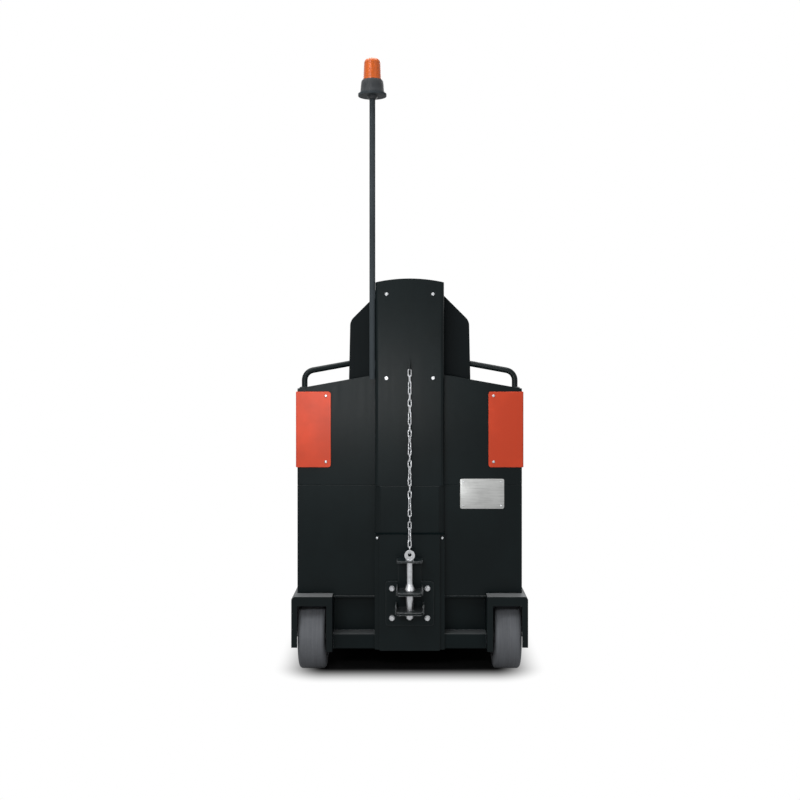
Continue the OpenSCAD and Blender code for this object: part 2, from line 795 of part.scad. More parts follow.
module front_bumper() color(black)
    translate([0, 0, ground_clearance + bumper_lift]) linear_extrude(bumper_h) {
        half = body_w / 2 - bumper_inset;
        round_box([-half, bumper_y], [half, front_y], [0, 0, bumper_r, bumper_r]);
    }

// Cowl: the common volume of a plan, a side and a front outline; inset gives its hollow inside
cowl_inset = 75;
cowl_foot_l = 45;
cowl_skirt_h = 120;
cowl_w = body_w - 2 * cowl_inset;
cowl_rear_y = front_frame_y0 - cowl_foot_l;
cowl_corner_r = 150;
cowl_foot_z = turntable_z + cowl_skirt_h;
cowl_front_lean = 110;
cowl_side_lean = 80;
cowl_rear_lean = 100;
cowl_hole_d = 120;

// All that lies inside an edge that stands upright and then leans in along an arc, drawn as (outwards, z)
module leaning_edge(reach, lean, inset) {
    arc_h = console_z - cowl_foot_z;
    r = (arc_h * arc_h + lean * lean) / (2 * lean);
    translate([0, floor_z - cut]) square([reach - inset, cowl_foot_z - floor_z + cut]);
    intersection() {
        translate([0, cowl_foot_z]) square([reach, arc_h - inset]);
        translate([reach - r, cowl_foot_z]) circle(r = r - inset, $fn = 256);
    }
}

module cowl_form(inset) intersection() {
    low_z = floor_z - (inset > 0 ? cut : 0);
    half = cowl_w / 2 - inset;
    r = cowl_corner_r - inset;
    rear = cowl_rear_y + inset;
    along_z(low_z, console_z) round_box([-half, rear], [half, bumper_y - inset], [0, 0, r, r]);
    along_x(-cowl_w / 2, cowl_w / 2) translate([cowl_rear_y, 0])
        leaning_edge(bumper_y - cowl_rear_y, cowl_front_lean, inset);
    along_x(-cowl_w / 2, cowl_w / 2)
        polygon([[rear, low_z], [bumper_y, low_z], [bumper_y, console_z],
                 [rear + cowl_rear_lean, console_z]]);
    along_y(cowl_rear_y, bumper_y) both_sides() leaning_edge(cowl_w / 2, cowl_side_lean, inset);
}

module front_cowl() color(black) difference() {
    cowl_form(0);
    cowl_form(panel_t);
    translate([0, kingpin_y, console_z - 2 * panel_t]) cylinder(d = cowl_hole_d, h = 4 * panel_t);
    both_sides() block([cheek_x - cut, bumper_y - 4 * panel_t, 0],
                       [cheek_x + plate_t + cut, front_y, turntable_z + cut]);
}

console_t = 12;
console_l = 250;
console_margin = 30;
console_setback = 20;
console_r = 40;
shaft_d = 40;

module cowl_console() color("#2a2c2e") difference() {
    translate([0, kingpin_y - console_setback, 0]) along_z(console_z, console_z + console_t)
        round_rect(cowl_w - 2 * (cowl_side_lean + console_margin), console_l, console_r);
    translate([0, kingpin_y, console_z - cut]) cylinder(d = shaft_d + 20, h = console_t + 2 * cut);
}

// Emergency stop at one side of the console and a gauge at the other
stop_x = cowl_w / 2 - 160;
gauge_w = 70;
gauge_l = 50;

module console_controls() translate([0, kingpin_y, console_z + console_t]) {
    color("red") translate([stop_x, -90, 0]) {
        cylinder(d = 22, h = 10);
        translate([0, 0, 10]) cylinder(d = 40, h = 14);
    }
    color("#101214") translate([-stop_x + 5, -105, 0]) linear_extrude(6) round_rect(gauge_w, gauge_l, 8);
}

// Floor mat with ribs across the footwell
mat_t = 4;
mat_rib_h = 2;
mat_rib_w = 9;
mat_rib_pitch = 22;
mat_margin = 20;
mat_inset = 55;
mat_rear_gap = 25;
mat_front_gap = 5;
mat_r = 12;

module floor_mat() color(plastic) {
    half = body_w / 2 - mat_inset;
    y0 = box_front_y + mat_rear_gap;
    y1 = cowl_rear_y - mat_front_gap;
    count = floor((y1 - y0 - 2 * mat_margin) / mat_rib_pitch);
    along_z(floor_z, floor_z + mat_t) round_box([-half, y0], [half, y1], [mat_r, mat_r, mat_r, mat_r]);
    for (k = [0 : count - 1]) {
        y = y0 + mat_margin + (k + 0.5) * mat_rib_pitch;
        block([-half + mat_margin, y - mat_rib_w / 2, floor_z + mat_t],
              [half - mat_margin, y + mat_rib_w / 2, floor_z + mat_t + mat_rib_h]);
    }
}

// Drive unit

drive_boss_x = drive_wheel_w / 2 + 10;
leg_t = 60;
leg_w = 110;
neck_drop = 20;
drive_axle_d = 40;
drive_rim_d = drive_wheel_d - 70;
motor_flange_t = 14;
motor_h = 240;
base_gap = 6;

// Gearbox: the steering neck, a leg beside the wheel with a round foot, and the wheel's stub axle
module drive_gearbox() color("#4a4d50") translate([0, kingpin_y, 0]) {
    leg_x = drive_boss_x + leg_t;
    translate([0, 0, turntable_z - neck_drop])
        cylinder(d = neck_d, h = turntable_t + neck_drop + running_gap);
    block([drive_boss_x, -leg_w / 2, drive_wheel_d / 2], [leg_x, leg_w / 2, turntable_z - neck_drop]);
    translate([0, 0, drive_wheel_d / 2]) {
        rod_x(drive_boss_x, leg_x, leg_w);
        rod_x(-drive_wheel_w / 2, drive_boss_x, drive_axle_d);
    }
}

// Motor on the neck's flange, with the steering shaft up to the tiller
module drive_motor() color("#303336") translate([0, kingpin_y, turntable_z + turntable_t + running_gap]) {
    shaft_top = console_z + console_t + base_gap - (turntable_z + turntable_t + running_gap);
    body_top = motor_flange_t + motor_h;
    flange_r = neck_d / 2 + 20;
    r = motor_d / 2;
    rotate_extrude()
        polygon([[0, 0], [flange_r, 0], [flange_r, motor_flange_t], [r, motor_flange_t], [r, body_top - 40],
                 [r - 8, body_top - 32], [r - 8, body_top - 8], [r - 16, body_top], [shaft_d / 2, body_top],
                 [shaft_d / 2, shaft_top], [0, shaft_top]]);
}

module drive_tyre() color("#6f7479") translate([0, kingpin_y, drive_wheel_d / 2])
    tyre(drive_wheel_d, drive_wheel_w, drive_rim_d);

module drive_hub() color("#8a8d90") translate([0, kingpin_y, drive_wheel_d / 2])
    wheel_hub(drive_rim_d, drive_wheel_w - 2 * hub_inset, 2 * drive_axle_d, drive_wheel_w - 2 * hub_inset,
              drive_axle_d + 2 * pin_gap);

// Tiller

tiller_pivot_z = console_z + 70;
tiller_base_z = console_z + console_t + base_gap;
tiller_base_t = 12;
tiller_pin_d = 16;
ear_in = 32;
ear_out = 44;
ear_d = 60;
arm_w = 44;
arm_t = 36;
arm_boss_d = 50;
head_w = 320;
head_h = 130;
loop_x = 92;

// Disc on the steering shaft with two ears and the tiller's pin
module tiller_base() color(black) translate([0, kingpin_y, 0]) {
    translate([0, 0, tiller_base_z]) cylinder(d = 2 * ear_d, h = tiller_base_t);
    both_sides() along_x(ear_in, ear_out) {
        translate([0, tiller_pivot_z]) circle(d = ear_d);
        translate([-ear_d / 2, tiller_base_z + tiller_base_t - cut])
            square([ear_d, tiller_pivot_z - tiller_base_z - tiller_base_t + cut]);
    }
    translate([0, 0, tiller_pivot_z]) rod_x(-ear_out - 2, ear_out + 2, tiller_pin_d);
}

module tiller_arm() color(black) translate([0, kingpin_y, tiller_pivot_z]) rotate([tiller_lean, 0, 0])
    difference() {
        union() {
            rod_x(2 - ear_in, ear_in - 2, arm_boss_d);
            linear_extrude(tiller_l - head_h / 2) round_rect(arm_w, arm_t, 9);
        }
        rod_x(-ear_in, ear_in, tiller_pin_d + 2 * pin_gap);
    }

// Head with a hand loop at each side of a thick middle
module tiller_head() color(plastic) translate([0, kingpin_y, tiller_pivot_z]) rotate([tiller_lean, 0, 0])
    translate([0, 0, tiller_l]) {
        along_y(-15, 15) difference() {
            round_rect(head_w, head_h - 10, 45);
            for (s = [-1, 1]) translate([s * loop_x, 0]) round_rect(104, 66, 28);
        }
        along_y(-26, 26) round_rect(70, head_h, 16);
    }

floor_frame();
front_frame();
wheel_housing(-1);  // wheel_housing_left
wheel_housing(1);  // wheel_housing_right
rear_axles();
rear_crossmember();
hitch_plate();
rear_panel_lower();
rear_panel_upper();
side_panel(-1);  // side_panel_left
side_panel(1);  // side_panel_right
side_wing(-1);  // side_wing_left
side_wing(1);  // side_wing_right
seat_box_front();
rear_deck();
column_plate();
column_cover();
backrest_pan();
backrest_cushion();
rail(-1);  // rail_left
rail(1);  // rail_right
beacon_pole();
beacon_base();
beacon_lens();
hitch_bracket();
jaw_cheeks();
tow_pin();
tow_chain();
corner_guards();
battery();
front_cowl();
cowl_console();
front_bumper();
floor_mat();
console_controls();
rear_tyre(-1);  // rear_tyre_left
rear_hub(-1);  // rear_hub_left
rear_tyre(1);  // rear_tyre_right
rear_hub(1);  // rear_hub_right
drive_gearbox();
drive_motor();
tiller_base();
drive_tyre();
drive_hub();
tiller_arm();
tiller_head();
battery_cover();
seat_cushion();
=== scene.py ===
"""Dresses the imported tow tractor: eased sheet metal, cushions, wheels, coupling, beacon and studio."""
import json
import math

import bmesh
import bpy
from bpy.props import FloatProperty, FloatVectorProperty, IntProperty, PointerProperty
from mathutils import Matrix, Vector
from mathutils.bvhtree import BVHTree


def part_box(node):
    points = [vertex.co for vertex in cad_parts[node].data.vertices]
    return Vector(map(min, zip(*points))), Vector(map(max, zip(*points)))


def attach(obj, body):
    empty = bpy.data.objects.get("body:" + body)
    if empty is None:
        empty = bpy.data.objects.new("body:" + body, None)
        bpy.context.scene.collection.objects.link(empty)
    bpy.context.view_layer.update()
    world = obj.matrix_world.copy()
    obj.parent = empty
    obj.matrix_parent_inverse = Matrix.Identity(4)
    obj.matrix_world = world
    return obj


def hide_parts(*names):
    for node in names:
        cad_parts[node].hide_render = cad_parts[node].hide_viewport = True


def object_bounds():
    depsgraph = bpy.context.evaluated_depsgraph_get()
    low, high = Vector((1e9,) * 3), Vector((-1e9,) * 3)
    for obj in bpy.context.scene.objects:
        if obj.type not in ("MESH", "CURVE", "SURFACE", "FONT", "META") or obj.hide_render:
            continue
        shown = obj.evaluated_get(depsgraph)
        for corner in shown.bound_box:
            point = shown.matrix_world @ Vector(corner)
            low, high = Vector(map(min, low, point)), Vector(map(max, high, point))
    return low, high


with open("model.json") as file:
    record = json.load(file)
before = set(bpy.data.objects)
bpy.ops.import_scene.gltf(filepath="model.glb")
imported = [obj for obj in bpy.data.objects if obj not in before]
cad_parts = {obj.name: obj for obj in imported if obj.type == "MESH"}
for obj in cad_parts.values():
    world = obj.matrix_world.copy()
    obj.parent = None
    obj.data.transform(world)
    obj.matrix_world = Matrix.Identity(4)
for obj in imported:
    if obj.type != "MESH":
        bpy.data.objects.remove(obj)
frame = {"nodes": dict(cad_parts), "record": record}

CAD_BOX = [list(corner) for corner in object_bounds()]

bl_info = {
    "name": "Tow Tractor Dressing",
    "version": (1, 0, 0),
    "blender": (4, 5, 0),
    "location": "3D View > Sidebar > Tow Tractor",
    "description": "Builds the visible pieces and finishes of a seated tow tractor on its frame",
    "category": "Object",
}


def size(name, description, default):
    return FloatProperty(name=name, description=description, default=default, unit="LENGTH", precision=4)


def count(name, description, default, low, high):
    return IntProperty(name=name, description=description, default=default, min=low, max=high)


def colour(name, description, default):
    return FloatVectorProperty(name=name, description=description, default=default,
                               subtype="COLOR", size=3, min=0, max=1)


class TractorSizes(bpy.types.PropertyGroup):
    """Sizes of the pieces that are added to the frame."""
    edge_ease: size("Edge ease", "Rounding of folded sheet edges", 0.0016)
    bolt_head: size("Bolt head", "Width across the column bolts' heads", 0.0095)
    hitch_bolt: size("Coupling bolt", "Width across the coupling bolts' heads", 0.015)
    screw_head: size("Screw head", "Diameter of the guards' screws", 0.010)
    plate_width: size("Plate width", "Width of the blank data plate", 0.150)
    plate_height: size("Plate height", "Height of the blank data plate", 0.102)
    rail_tube: size("Rail tube", "Diameter of the grab rails' tube", 0.020)
    rail_bend: size("Rail bend", "Radius of the grab rails' bend", 0.035)
    rail_lift: size("Rail lift", "Height of the rails' bend above the wings", 0.028)
    chain_wire: size("Chain wire", "Diameter of the chain's wire", 0.004)
    chain_width: size("Chain width", "Outside width of a chain link", 0.014)
    chain_pitch: size("Chain pitch", "Length inside one chain link", 0.0204)
    chain_twists: count("Chain twists", "Half turns of twist along the chain", 3, 0, 8)
    piping: size("Piping", "Diameter of the cushions' piping", 0.007)
    cushion_swell: size("Cushion swell", "Furthest that a cushion's cover swells", 0.012)
    lens_steps: count("Lens rings", "Rings moulded in the beacon's lens", 9, 3, 20)


class TractorColours(bpy.types.PropertyGroup):
    """Colours of the finishes."""
    paint: colour("Body paint", "Satin black of the sheet metal", (0.0041, 0.0074, 0.0081))
    # The pole's paint is a lighter grey than the body paint
    pole: colour("Pole", "Weathered grey of the beacon's pole", (0.040, 0.048, 0.053))
    # Painted highlight: the pale grey laid along edges, standing in for light that rounded edges catch
    highlight_grey: colour("Bare edges", "Steel that shows where paint is rubbed off", (0.30, 0.31, 0.32))
    guard: colour("Guards", "Red of the corner guards", (0.62, 0.062, 0.022))
    zinc: colour("Zinc", "Plated chain, pin and bolts", (0.45, 0.46, 0.475))
    tyre: colour("Tyres", "Grey of the solid tyres", (0.135, 0.142, 0.155))
    vinyl: colour("Cushions", "Black of the cushions' cover", (0.016, 0.0165, 0.018))
    amber: colour("Lens", "Amber of the beacon's lens", (0.60, 0.108, 0.006))
    plastic: colour("Plastic", "Dark moulded plastic", (0.020, 0.023, 0.026))
    shell: colour("Seat shell", "Dull black of the backrest's pan", (0.0040, 0.0060, 0.0068))
    # Painted top light: the pale tone laid on upward faces of low ledges, standing in for light from above
    painted_top_light: colour("Dust", "Pale dust on ledges near the ground", (0.17, 0.178, 0.182))
    plate: colour("Plate", "Silver of the data plate", (0.37, 0.375, 0.37))
    iron: colour("Castings", "Grey of hubs, gearbox and motor", (0.10, 0.105, 0.11))
    case: colour("Battery case", "Grey of the battery's case, the levers and the gauge", (0.07, 0.075, 0.08))
    stop: colour("Stop button", "Red of the emergency stop", (0.55, 0.015, 0.012))


# Finishes

class Signal:
    """A socket in a finish's node tree. Arithmetic on it adds Math nodes."""

    def __init__(self, finish, socket):
        self.finish = finish
        self.socket = socket

    def math(self, operation, *terms):
        return self.finish.node("ShaderNodeMath", {"operation": operation}, dict(enumerate(terms)))

    def __add__(self, other):
        return self.math("ADD", self, other)

    __radd__ = __add__

    def __sub__(self, other):
        return self.math("SUBTRACT", self, other)

    def __rsub__(self, other):
        return self.math("SUBTRACT", other, self)

    def __mul__(self, other):
        return self.math("MULTIPLY", self, other)

    def ramp(self, low, high):
        """0 below low, 1 above high, smooth between."""
        settings = {"interpolation_type": "SMOOTHSTEP"}
        return self.finish.node("ShaderNodeMapRange", settings, {0: self, 1: low, 2: high, 3: 0.0, 4: 1.0})


class Nodes:
    """A node tree that grows by node() and by arithmetic on the signals that it gives."""

    def __init__(self, tree):
        self.tree = tree

    def node(self, kind, settings=None, inputs=None, out=0):
        """Adds a node: its settings first, then the values or links of its sockets."""
        made = self.tree.nodes.new(kind)
        for key, value in (settings or {}).items():
            setattr(made, key, value)
        for key, value in (inputs or {}).items():
            if isinstance(value, Signal):
                self.tree.links.new(value.socket, made.inputs[key])
            else:
                made.inputs[key].default_value = value
        return Signal(self, made.outputs[out])

    def vector(self, operation, *terms, out=0):
        return self.node("ShaderNodeVectorMath", {"operation": operation}, dict(enumerate(terms)), out)


class Finish(Nodes):
    """A material with one Principled shader, built from nodes."""

    def __init__(self, name, **constants):
        self.material = bpy.data.materials.new(name)
        self.material.use_nodes = True
        super().__init__(self.material.node_tree)
        self.shader = self.tree.nodes["Principled BSDF"]
        for key, value in constants.items():
            self.shader.inputs[key.replace("_", " ")].default_value = value
        self.place = self.node("ShaderNodeTexCoord", out="Object")

    def stretched(self, scale):
        return self.node("ShaderNodeMapping", None, {"Vector": self.place, "Scale": scale})

    def noise(self, scale, detail=3.0, rough=0.55, place=None):
        inputs = {"Vector": place or self.place, "Scale": scale, "Detail": detail, "Roughness": rough}
        return self.node("ShaderNodeTexNoise", None, inputs)

    def cells(self, scale, feature="F1"):
        return self.node("ShaderNodeTexVoronoi", {"feature": feature}, {"Vector": self.place, "Scale": scale})

    def axis(self, name):
        return self.node("ShaderNodeSeparateXYZ", None, {0: self.place}, out=name)

    def upward(self):
        """1 on what faces up, falling to 0 on what stands upright."""
        normal = self.node("ShaderNodeTexCoord", out="Normal")
        return self.node("ShaderNodeSeparateXYZ", None, {0: normal}, out="Z").ramp(0.35, 0.95)

    def edges(self, reach):
        """1 on edges, falling to 0 within reach of them."""
        turned = self.node("ShaderNodeBevel", {"samples": 6}, {"Radius": reach})
        flat = self.node("ShaderNodeNewGeometry", out="Normal")
        return (1 - self.vector("DOT_PRODUCT", turned, flat, out="Value")).ramp(0.01, 0.20)

    def mix(self, factor, first, second):
        return self.node("ShaderNodeMix", {"data_type": "RGBA"}, {0: factor, 6: first, 7: second}, out=2)

    def feed(self, socket, signal):
        self.tree.links.new(signal.socket, self.shader.inputs[socket])

    def tones(self, factor, rgb, dark, light):
        """Feeds the base colour with a mix of two tones of rgb."""
        self.feed("Base Color", self.mix(factor, tone(rgb, dark), tone(rgb, light)))

    def bump(self, height, strength, distance):
        inputs = {"Strength": strength, "Distance": distance, "Height": height}
        self.feed("Normal", self.node("ShaderNodeBump", None, inputs))


def tone(rgb, gain):
    return (*[min(1.0, part * gain) for part in rgb[:3]], 1.0)


# Heights between which the painted top light, a pale tone on upward faces that stands in for light from above,
# thins out
TOP_LIGHT_HEIGHTS = (0.26, 0.42)
# Depth over which the coupling's painted edge highlights fade out, ending at the depth that paint_finish is given
HIGHLIGHT_FADE = 0.035


def paint_finish(name, rgb, colours, roughness, specular, painted_top_light=1.0, edge_highlight=0.05, reach=0.003, highlit_to=None):
    """Powder coat: orange peel, clouds and streaks, with a pale tone on upward faces of low ledges as painted top
    light, and pale painted highlights on edges as far forward as the given depth.
    """
    f = Finish(name, Specular_IOR_Level=specular)
    cloud = f.noise(5.0, detail=4.0)
    speck = f.noise(240.0, detail=2.0)
    streak = f.noise(60.0, rough=0.6, place=f.stretched((1.0, 1.0, 0.05)))
    low = 1 - f.axis("Z").ramp(*TOP_LIGHT_HEIGHTS)
    # Painted top light: a pale tone on upward faces, strongest on low ledges, standing in for light from above
    top_light_share = f.upward() * (0.10 + low * 0.75) * (0.55 + cloud * 0.5 + speck * 0.4) * painted_top_light
    # Painted highlights: a pale grey along edges, standing in for light that rounded edges catch, as far forward as
    # the given depth
    highlit_edges = f.edges(reach) * (0.4 + speck.ramp(0.42, 0.62) * 0.6) * edge_highlight
    if highlit_to is not None:
        highlit_edges = highlit_edges * (1 - f.axis("Y").ramp(highlit_to - HIGHLIGHT_FADE, highlit_to) * 0.9)
    shade = f.mix(cloud.ramp(0.35, 0.70), tone(rgb, 0.88), tone(rgb, 1.18))
    top_lit = f.mix(top_light_share, shade, tone(colours.painted_top_light, 1.0))
    f.feed("Base Color", f.mix(highlit_edges, top_lit, tone(colours.highlight_grey, 1.0)))
    f.feed("Roughness", roughness + (cloud - 0.5) * 0.10 + (streak - 0.5) * 0.12 + top_light_share * 0.3)
    peel = f.noise(620.0, detail=1.0) * 0.7 + f.noise(90.0, detail=2.0) * 0.6
    f.bump(peel, strength=0.16, distance=0.0006)
    return f.material


def metal_finish(name, rgb, roughness, spangle=1.0, metallic=0.95):
    """Plated or cast metal with fine mottling and brighter patches worn by rubbing."""
    f = Finish(name, Metallic=metallic)
    cloud = f.noise(38.0, detail=4.0)
    grain = f.cells(420.0)
    mottle = (cloud * 0.7 + grain * 0.4).ramp(0.3, 0.8)
    f.tones(mottle, rgb, 0.72, 1.12)
    f.feed("Roughness", roughness + (cloud - 0.5) * 0.22 + grain * 0.06 * spangle)
    f.bump(f.noise(900.0, detail=2.0) + cloud * 0.4, strength=0.10, distance=0.0004)
    return f.material


def tyre_finish(name, rgb):
    """Solid tyre compound: dull, scuffed, streaked along the tread, with open pores."""
    f = Finish(name, Specular_IOR_Level=0.25)
    scuff = f.noise(70.0, detail=4.0, rough=0.6)
    pores = f.cells(700.0)
    band = f.noise(210.0, rough=0.6, place=f.stretched((1.0, 0.03, 0.03)))
    worn = (scuff * 0.3 + band * 0.75).ramp(0.35, 0.75)
    f.tones(worn, rgb, 0.91, 1.12)
    f.feed("Roughness", 0.72 + (scuff - 0.5) * 0.2)
    f.bump(pores * 0.5 + scuff, strength=0.22, distance=0.0010)
    return f.material


def vinyl_finish(name, rgb):
    """Seat cover: leather grain with soft creases."""
    f = Finish(name, Specular_IOR_Level=0.35)
    grain = f.cells(520.0, "DISTANCE_TO_EDGE")
    crease = f.noise(45.0, detail=4.0, rough=0.6)
    f.tones(crease.ramp(0.35, 0.75), rgb, 0.85, 1.4)
    f.feed("Roughness", 0.42 + (crease - 0.5) * 0.16 + (1 - grain.ramp(0.0, 0.25)) * 0.08)
    f.bump(grain.ramp(0.0, 0.22) + crease * 0.5, strength=0.28, distance=0.0007)
    return f.material


def plastic_finish(name, rgb, roughness=0.45, grain=1.0):
    """Moulded plastic with a fine spark-eroded grain."""
    f = Finish(name, Specular_IOR_Level=0.25)
    cloud = f.noise(16.0)
    f.tones(cloud.ramp(0.3, 0.7), rgb, 0.9, 1.12)
    f.feed("Roughness", roughness + (cloud - 0.5) * 0.12)
    f.bump(f.cells(900.0) + f.noise(500.0), strength=0.15 * grain, distance=0.0005)
    return f.material


def lens_finish(name, rgb):
    """Clear amber lens with fine moulding haze."""
    f = Finish(name, Transmission_Weight=0.25, IOR=1.49, Specular_IOR_Level=0.3)
    haze = f.noise(120.0, detail=2.0)
    f.tones(haze.ramp(0.3, 0.7), rgb, 0.90, 1.06)
    f.feed("Roughness", 0.22 + haze * 0.16)
    f.bump(haze, strength=0.08, distance=0.0005)
    return f.material


def plate_finish(name, rgb):
    """Brushed aluminium sheet without print, lightly scratched."""
    f = Finish(name, Metallic=0.85)
    brush = f.noise(300.0, rough=0.6, place=f.stretched((0.05, 1.0, 1.0)))
    cloud = f.noise(18.0)
    scratched = (brush * 0.6 + cloud * 0.5).ramp(0.35, 0.75)
    f.tones(scratched, rgb, 0.85, 1.1)
    f.feed("Roughness", 0.36 + (brush - 0.5) * 0.25)
    f.bump(brush, strength=0.12, distance=0.0003)
    return f.material


FINISHES = {}

# Paints: name, colour, roughness, specular level, and what else they change
# Each paint sets its share of the painted top light, the pale tone on upward faces for light from above
PAINTS = {
    "black_paint": ("satin_black_paint", "paint", 0.34, 0.10, {}),
    # The frame's and the coupling's paints carry strong painted highlights along their edges
    "frame_paint": ("frame_black_paint", "paint", 0.42, 0.08, {"painted_top_light": 0.35, "edge_highlight": 0.8}),
    "coupling_paint": ("rubbed_black_paint", "paint", 0.40, 0.10,
                       {"painted_top_light": 0.12, "edge_highlight": 0.8, "reach": 0.008, "highlit_to": -0.76}),
    "pole_paint": ("weathered_pole_paint", "pole", 0.50, 0.03, {"painted_top_light": 0.2}),
    "guard_red": ("guard_red_paint", "guard", 0.34, 0.20, {"painted_top_light": 0.2}),
    "seat_shell": ("seat_shell_black", "shell", 0.55, 0.06, {"painted_top_light": 0.3}),
    # Near-black matte paint of the strip that paints the shadow of the gap above the hitch plate
    "seal": ("seal_rubber_black", "paint", 0.85, 0.0, {"painted_top_light": 0.0, "edge_highlight": 0.0}),
}


def make_finishes(colours):
    """Makes every finish once, under its slot's name or that of its own look."""
    for key, (name, rgb, roughness, specular, look) in PAINTS.items():
        FINISHES[key] = paint_finish(name, getattr(colours, rgb), colours, roughness, specular, **look)
    FINISHES.update({
        "zinc": metal_finish("zinc_plate", colours.zinc, roughness=0.30),
        "tyre_grey": tyre_finish("solid_tyre_grey", colours.tyre),
        "hub_steel": metal_finish("painted_casting", colours.iron, roughness=0.52, spangle=0.4, metallic=0.55),
        "seat_vinyl": vinyl_finish("black_seat_vinyl", colours.vinyl),
        "mat_rubber": plastic_finish("mat_rubber", colours.plastic, roughness=0.68, grain=1.6),
        "lens_amber": lens_finish("amber_lens", colours.amber),
        "dark_plastic": plastic_finish("dark_moulded_plastic", colours.plastic),
        "battery_case": plastic_finish("battery_case_grey", colours.case, roughness=0.5),
        "control_red": plastic_finish("stop_button_red", colours.stop, roughness=0.3, grain=0.3),
        "plate": plate_finish("blank_plate_silver", colours.plate),
    })


# Mesh helpers

def piece(name, bm, finish, body="chassis", replaces=(), smooth=40):
    """Turns a bmesh into a piece with a finish, on a body, standing for CAD nodes."""
    bmesh.ops.recalc_face_normals(bm, faces=bm.faces)
    mesh = bpy.data.meshes.new(name)
    bm.to_mesh(mesh)
    bm.free()
    mesh.polygons.foreach_set("use_smooth", [True] * len(mesh.polygons))
    mesh.set_sharp_from_angle(angle=math.radians(smooth))
    made = bpy.data.objects.new(name, mesh)
    bpy.context.scene.collection.objects.link(made)
    mesh.materials.append(FINISHES[finish])
    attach(made, body)
    if replaces:
        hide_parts(*replaces)
    return made


def body_of_node(node):
    return next(body for body, nodes in frame["record"]["behaviour"]["bodies"].items() if node in nodes)


def ease(bm, width, segments=2, angle=28):
    """Rounds every edge sharper than the angle."""
    bm.normal_update()
    edges = [e for e in bm.edges if e.is_manifold and e.calc_face_angle() > math.radians(angle)]
    if edges:
        bmesh.ops.bevel(bm, geom=edges, offset=width, segments=segments, profile=0.6,
                        affect="EDGES", clamp_overlap=True)


REAR, UP = (0, -1, 0), (0, 0, 1)

# Points this close are one point, and faces within this angle are one face
SAME_POINT = 2e-5
SAME_FACE = math.radians(0.6)


def eased_node(node, finish, width, segments=2):
    """A copy of a CAD node in its place, with its flat faces whole again and its edges eased."""
    bm = bmesh.new()
    bm.from_mesh(frame["nodes"][node].data)
    bmesh.ops.remove_doubles(bm, verts=bm.verts, dist=SAME_POINT)
    bmesh.ops.dissolve_limit(bm, angle_limit=SAME_FACE, verts=bm.verts, edges=bm.edges)
    ease(bm, width, segments)
    made = piece(node + "_eased", bm, finish, body_of_node(node), (node,), 32)
    made.modifiers.new("Flat faces", "WEIGHTED_NORMAL").keep_sharp = True


def circle(bm, centre, side, other, radius, steps):
    """A ring of points about centre, in the plane of side and other."""
    turn = [2 * math.pi * k / steps for k in range(steps)]
    return [bm.verts.new(centre + (side * math.cos(t) + other * math.sin(t)) * radius) for t in turn]


def bridge(bm, rings, capped=False):
    """Joins rings of points by faces; a ring of one point makes a tip."""
    for first, second in zip(rings, rings[1:]):
        for k in range(max(len(first), len(second))):
            quad = (first[k % len(first)], first[(k + 1) % len(first)],
                    second[(k + 1) % len(second)], second[k % len(second)])
            corners = list(dict.fromkeys(quad))
            if len(corners) > 2:
                bm.faces.new(corners)
    if capped:
        bm.faces.new(rings[0])
        bm.faces.new(rings[-1])
    return bm


def lathe(profile, origin, axis, steps, bm=None):
    """Turns (radius, along) points about an axis through origin; radius 0 closes the end."""
    bm = bm or bmesh.new()
    along = Vector(axis).normalized()
    side = along.orthogonal().normalized()
    other = along.cross(side)
    return bridge(bm, [circle(bm, Vector(origin) + along * reach, side, other, radius, steps if radius else 1)
                       for radius, reach in profile])


def hexagon(radius, height, origin, axis, bm, chamfer=0.12):
    """A hexagon head with its chamfered crown, on a flange washer."""
    reach = radius / math.cos(math.radians(30))
    washer = height * 0.18
    flange = [(0, 0), (radius * 1.28, 0), (radius * 1.3, height * 0.08), (radius * 1.22, washer), (0, washer)]
    head = [(0, washer), (reach, washer), (reach, height * (1 - chamfer)), (reach * 0.86, height), (0, height)]
    lathe(flange, origin, axis, 32, bm)
    lathe(head, origin, axis, 6, bm)


def dome(radius, height, origin, axis, bm):
    """A round screw head with a socket."""
    socket, floor = radius * 0.42, height * 0.45
    crown = [(radius, 0), (radius, height * 0.3), (radius * 0.82, height * 0.8), (radius * 0.55, height)]
    lathe(crown + [(socket, height), (socket, floor), (0, floor)], origin, axis, 24, bm)


def tube(points, radius, sides, bm=None, closed=False):
    """A round bar along points, with its frame carried along."""
    bm = bm or bmesh.new()
    points = [Vector(p) for p in points]
    count = len(points)
    rings = []
    normal = None
    for k, point in enumerate(points):
        before = points[(k - 1) % count] if closed or k else point
        after = points[(k + 1) % count] if closed or k < count - 1 else point
        way = (after - before).normalized()
        normal = way.orthogonal() if normal is None else normal - way * normal.dot(way)
        normal.normalize()
        rings.append(circle(bm, point, normal, way.cross(normal), radius, sides))
    if closed:
        first, last = rings[0], rings[-1]
        shift = min(range(sides), key=lambda s: (last[0].co - first[s].co).length)
        rings.append(first[shift:] + first[:shift])
    return bridge(bm, rings, capped=not closed)


def slab(outline, low, high, place):
    """A plate from a closed outline of 2D points; place turns (u, v, depth) into a point."""
    bm = bmesh.new()
    faces = [[bm.verts.new(place(u, v, depth)) for u, v in outline] for depth in (low, high)]
    for face in faces:
        bm.faces.new(face)
    return bridge(bm, faces)


def round_outline(width, height, radius, steps=6):
    """A rectangle with round corners, about its middle."""
    points = []
    for cx, cy, start in ((1, 1, 0), (-1, 1, 90), (-1, -1, 180), (1, -1, 270)):
        for k in range(steps + 1):
            t = math.radians(start + 90 * k / steps)
            points.append((cx * (width / 2 - radius) + radius * math.cos(t),
                           cy * (height / 2 - radius) + radius * math.sin(t)))
    return points


